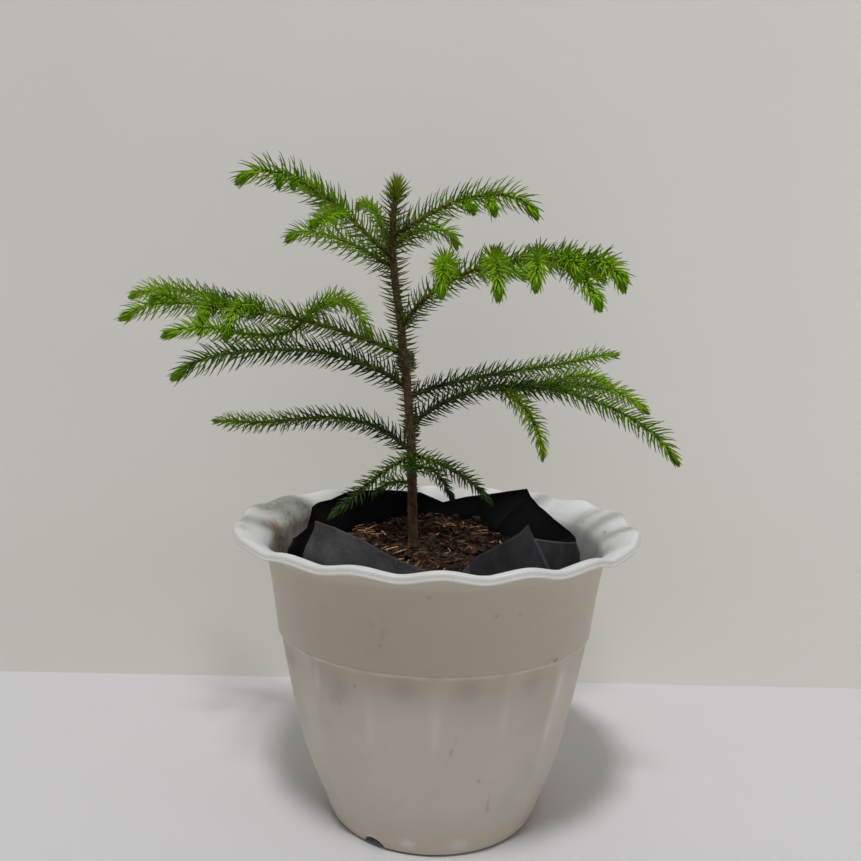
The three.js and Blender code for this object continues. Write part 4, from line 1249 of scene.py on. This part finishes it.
# Kinds of needle: first those of a limb by freshness, each with its colour in its shade and in its light.
needleKinds = {
    "needlesDeep": {"slot": "needles_old", "dark": (36, 44, 26), "light": (60, 94, 44)},
    "needlesDark": {"slot": "needles_old", "dark": (44, 56, 26), "light": (82, 120, 36)},
    "needlesGreen": {"slot": "needles_old", "dark": (58, 72, 26), "light": (112, 154, 28)},
    "needlesLeaf": {"slot": "needles_new", "dark": (72, 88, 24), "light": (138, 186, 22)},
    "needlesFresh": {"slot": "needles_new", "dark": (86, 108, 20), "light": (158, 208, 20)},
    "needlesBright": {"slot": "needles_new", "dark": (102, 130, 20), "light": (174, 224, 20)},
}
otherKinds = {
    "budScales": {"slot": "needles_new", "dark": (88, 134, 6), "light": (146, 200, 12)},
    "leaderNeedles": {"slot": "needles_new", "dark": (122, 164, 14), "light": (156, 126, 42)},
    "trunkNeedles": {"slot": "needles_old", "dark": (68, 64, 28), "light": (118, 130, 46)},
    "leafStubs": {"slot": "bark", "dark": (70, 54, 38), "light": (116, 92, 64)},
}
grown = {name: [] for name in [*needleKinds, *otherKinds]}


def growNeedles(feet, ahead, outward, length, width, lean, hook):
    # Each needle's axis starts at lean off the stem's heading and curves towards it; its section is a flat
    # diamond that tapers by the table. Returns rings (needles, rows, 4, 3) and how light each row is.
    width, lean, hook = (np.broadcast_to(values, len(feet)) for values in (width, lean, hook))
    lean = np.radians(lean)[:, None]
    first = np.cos(lean) * ahead + np.sin(lean) * outward
    t = np.array(needle["stations"])[None, :, None]
    bent = hook[:, None, None] * t * t / 2
    axis = feet[:, None] + length[:, None, None] * ((t - bent) * first[:, None] + bent * ahead[:, None])
    axis = axis - needle["sink"] * (1 - t) * outward[:, None]
    heading = unit(np.gradient(axis, axis=1))
    side = unit(np.cross(ahead, outward))[:, None]
    half = 0.5 * width[:, None, None] * np.array(needle["taper"])[None, :, None]
    wide, thick = half * side, needle["flatness"] * half * unit(np.cross(heading, side))
    rings = np.stack([axis + wide, axis + thick, axis - wide, axis - thick], 2)
    # Its foot is the lightest, and it darkens towards its tip.
    tint = np.clip(random.uniform(0.4, 1.1, len(feet))[:, None] - 0.75 * t[..., 0] ** 1.4, 0, 1)
    return rings, tint


def keep(kind, node, rings, tint):  # needles that have grown, until all of their kind are made one piece
    if len(rings):
        grown[kind].append((node, rings, tint))


def spiral(count, start=0.0):  # turns in radians, each the golden turn past the one before
    return np.radians(start + np.arange(count) * needle["goldenTurn"])


def coverLimb(limb):
    # Needles stand on a limb in a golden-angle spiral from its foot to its tip, shorter and fresher there.
    look = tiers[limb["tier"]]
    begin, end = 0.02, 1 - needle["endGap"] / limb["length"]
    perCm = look["perCm"] * (needle["twigDensity"] if limb["twig"] else 1)
    count = int((end - begin) * limb["length"] * perCm / 10)
    share = begin + (end - begin) * (np.arange(count) + random.uniform(0, 0.4, count)) / count
    ahead, side, up = headingAt(limb, share)
    angle = (spiral(count, random.uniform(0, 360)) + random.normal(0, 0.08, count))[:, None]
    outward = np.cos(angle) * side + np.sin(angle) * up
    feet = placeAt(limb, share) + radiusAt(limb, share)[:, None] * outward
    nearTip = ramp(1 - needle["tipStretch"] / limb["length"], 1, share)
    small = needle["twigLength"] if limb["twig"] else 1
    if limb["node"] in shadedBoughs:
        small = needle["shadedLength"]
    length = look["needle"] * small * (1 - look["shorter"] * nearTip) * random.uniform(0.86, 1.1, count)
    lean = needle["lean"] - needle["tipLift"] * nearTip + random.normal(0, needle["leanSpread"], count)
    hook = needle["hook"] + needle["tipHook"] * nearTip + random.normal(0, 0.07, count)
    width = needle["width"] * random.uniform(0.85, 1.15, count)
    rings, tint = growNeedles(feet, ahead, outward, length, width, lean, hook)

    # Long twigs and aged boughs carry older growth.
    low, high = look["twigFresh"] if limb["twig"] else look["fresh"]
    low -= 0.5 * ramp(106, 122, limb["length"]) * limb["twig"]
    if limb["node"] in agedBoughs:
        low, high = low - 0.5, high - 0.42
    fresh = low + (high - low) * share + random.normal(0, 0.05, count)
    which = np.clip((fresh * len(needleKinds)).astype(int), 0, len(needleKinds) - 1)
    for i, kind in enumerate(needleKinds):
        keep(kind, limb["node"], rings[which == i], tint[which == i])


# a tip's bud: number of needles, the longest, lean of the outermost, and how much less the innermost lean
closedBud = {"count": 52, "longest": 9.5, "lean": 58, "rise": 46}
sparseBud = {"count": 20, "longest": 7.5, "lean": 40, "rise": 32.2}


def closeBud(limb):
    # Needles close over each other about the last 6 mm of the stem. The older tiers' buds are sparse.
    bud = closedBud if limb["tier"] in ("top", "upper") else sparseBud
    rank = np.arange(bud["count"]) / bud["count"]
    share = 1 - 6 / limb["length"] * (1 - rank)
    ahead, side, up = headingAt(limb, share)
    angle = spiral(bud["count"])[:, None]
    outward = np.cos(angle) * side + np.sin(angle) * up
    feet = placeAt(limb, share) + 0.5 * outward
    length = bud["longest"] - 3 * rank + random.normal(0, 0.3, bud["count"])
    rings, tint = growNeedles(feet, ahead, outward, length, 1.2, bud["lean"] - bud["rise"] * rank, 1.55)
    keep(tiers[limb["tier"]]["bud"], limb["node"], rings, tint)


def trunkSkin(height, outward):  # places on the trunk's skin
    return trunkAt(height) + smoothThrough(height, stationHeights, stationRadii)[:, None] * outward


trunkNeedles = {
    "span": (236, 422),
    "perMm": 1.9,
    "rising": (388, 422),  # heights between which they lift
    "lean": (84, 50),
    "hook": (0.3, 0.2),
    "leanSpread": 6,
    "width": 1.25,
    "heights": (240, 290, 320, 400),
    "lengths": (5.5, 8, 10.5, 12.8),
    "sleeve": 47.5,  # height of each of the four masses that they stand for
}


def coverTrunk():
    # The trunk's own needles stand nearly level, and lift towards the leader.
    low, high = trunkNeedles["span"]
    count = int((high - low) * trunkNeedles["perMm"])
    height = low + (high - low) * (np.arange(count) + random.uniform(0, 0.5, count)) / count
    outward = levelHeading(spiral(count))
    ahead = unit(trunkAt(height + 1) - trunkAt(height - 1))
    risen = ramp(*trunkNeedles["rising"], height)
    lean = np.interp(risen, [0, 1], trunkNeedles["lean"])
    lean = lean + random.normal(0, trunkNeedles["leanSpread"], count)
    length = np.interp(height, trunkNeedles["heights"], trunkNeedles["lengths"])
    length = length * random.uniform(0.8, 1.12, count)
    hook = np.interp(risen, [0, 1], trunkNeedles["hook"])
    feet = trunkSkin(height, outward)
    rings, tint = growNeedles(feet, ahead, outward, length, trunkNeedles["width"], lean, hook)
    sleeve = np.clip(((height - low) / trunkNeedles["sleeve"]).astype(int) + 1, 1, 4)
    for number in range(1, 5):
        keep("trunkNeedles", f"trunk_{number}", rings[sleeve == number], tint[sleeve == number])


leader = {
    "count": 60,
    "span": (416, 426),
    "heading": (0.06, 0, 1.0),
    "stemRadius": 0.8,
    "lean": (70, 14),  # of its lowest and highest needles
    "leanSpread": 6,
    "length": (12, 9.5),
    "width": 1.25,
    "hook": 0.3,
}


def crownLeader():
    # The leader's tuft: needles that fan out from the trunk's tip and end in orange.
    count = leader["count"]
    rank = np.arange(count) / count
    outward = levelHeading(spiral(count, 40))
    ahead = np.broadcast_to(unit(np.array(leader["heading"])), outward.shape)
    feet = trunkAt(np.interp(rank, [0, 1], leader["span"])) + leader["stemRadius"] * outward
    lean = np.interp(rank ** 1.3, [0, 1], leader["lean"]) + random.normal(0, leader["leanSpread"], count)
    length = np.interp(rank, [0, 1], leader["length"]) + random.normal(0, 0.5, count)
    rings, _ = growNeedles(feet, ahead, outward, length, leader["width"], lean, leader["hook"])
    tint = np.broadcast_to(np.array(needle["stations"]) ** 3, rings.shape[:2])
    keep("leaderNeedles", "trunk_4", rings, tint)


stubs = {
    "count": 70,
    "span": (196, 242),
    "length": (0.5, 1.4),
    "longer": 2.2,  # how much longer they may be towards the needles, between these heights
    "longerFrom": (214, 240),
    "width": 1.0,
    "lean": 74,
}


def stubble():
    # Broken leaf bases on the bare trunk.
    count = stubs["count"]
    height = random.uniform(*stubs["span"], count)
    outward = levelHeading(random.uniform(0, 2 * np.pi, count))
    ahead = np.broadcast_to([0, 0, 1.0], outward.shape)
    longer = stubs["longer"] * ramp(*stubs["longerFrom"], height)
    length = random.uniform(*stubs["length"], count) + longer * random.uniform(0, 1, count)
    feet = trunkSkin(height, outward)
    rings, tint = growNeedles(feet, ahead, outward, length, stubs["width"], stubs["lean"], 0)
    keep("leafStubs", "trunk_1", rings, tint)


def needleSurface(name, dark, light, roughness=0.5):
    # The tint along each needle, and a little of fine patches, give the share of its light colour.
    material, tree, shader, spot = newMaterial(name)
    patches = effect(tree, "blotches", Vector=spot, Scale=700.0, Detail=3.0, Low=0.3, High=0.7)
    shade = wire(tree, "ShaderNodeMath", {"operation": "MULTIPLY_ADD"}, input0=patches, input1=0.25,
                 input2=times(tree, attributeOf(tree, "tint"), 0.75)).outputs[0]
    dullness = between(tree, patches, roughness, roughness + 0.12)
    setSurface(tree, shader, blend(tree, shade, dark, light), dullness, patches, 0.2, 0.2, specular=0.16)
    return material


def makeNeedles():
    # All needles of a kind are one piece, which stands for every node that they grow on.
    for limb in limbs:
        coverLimb(limb)
        closeBud(limb)
    coverTrunk()
    crownLeader()
    stubble()
    for name, look in {**needleKinds, **otherKinds}.items():
        nodes, rings, tints = zip(*grown[name])
        tint = np.concatenate(tints)
        tint = np.concatenate([np.repeat(tint[:, :-1], 4, axis=1), tint[:, -1:]], axis=1)
        surface = needleSurface(name, look["dark"], look["light"])
        covered = sorted({"needles_" + node for node in nodes})
        addPiece(name, manySkins(np.concatenate(rings)), look["slot"], covered, surface, tint=tint)


makeNeedles()
print("needles: boughs, buds, trunk and leader")
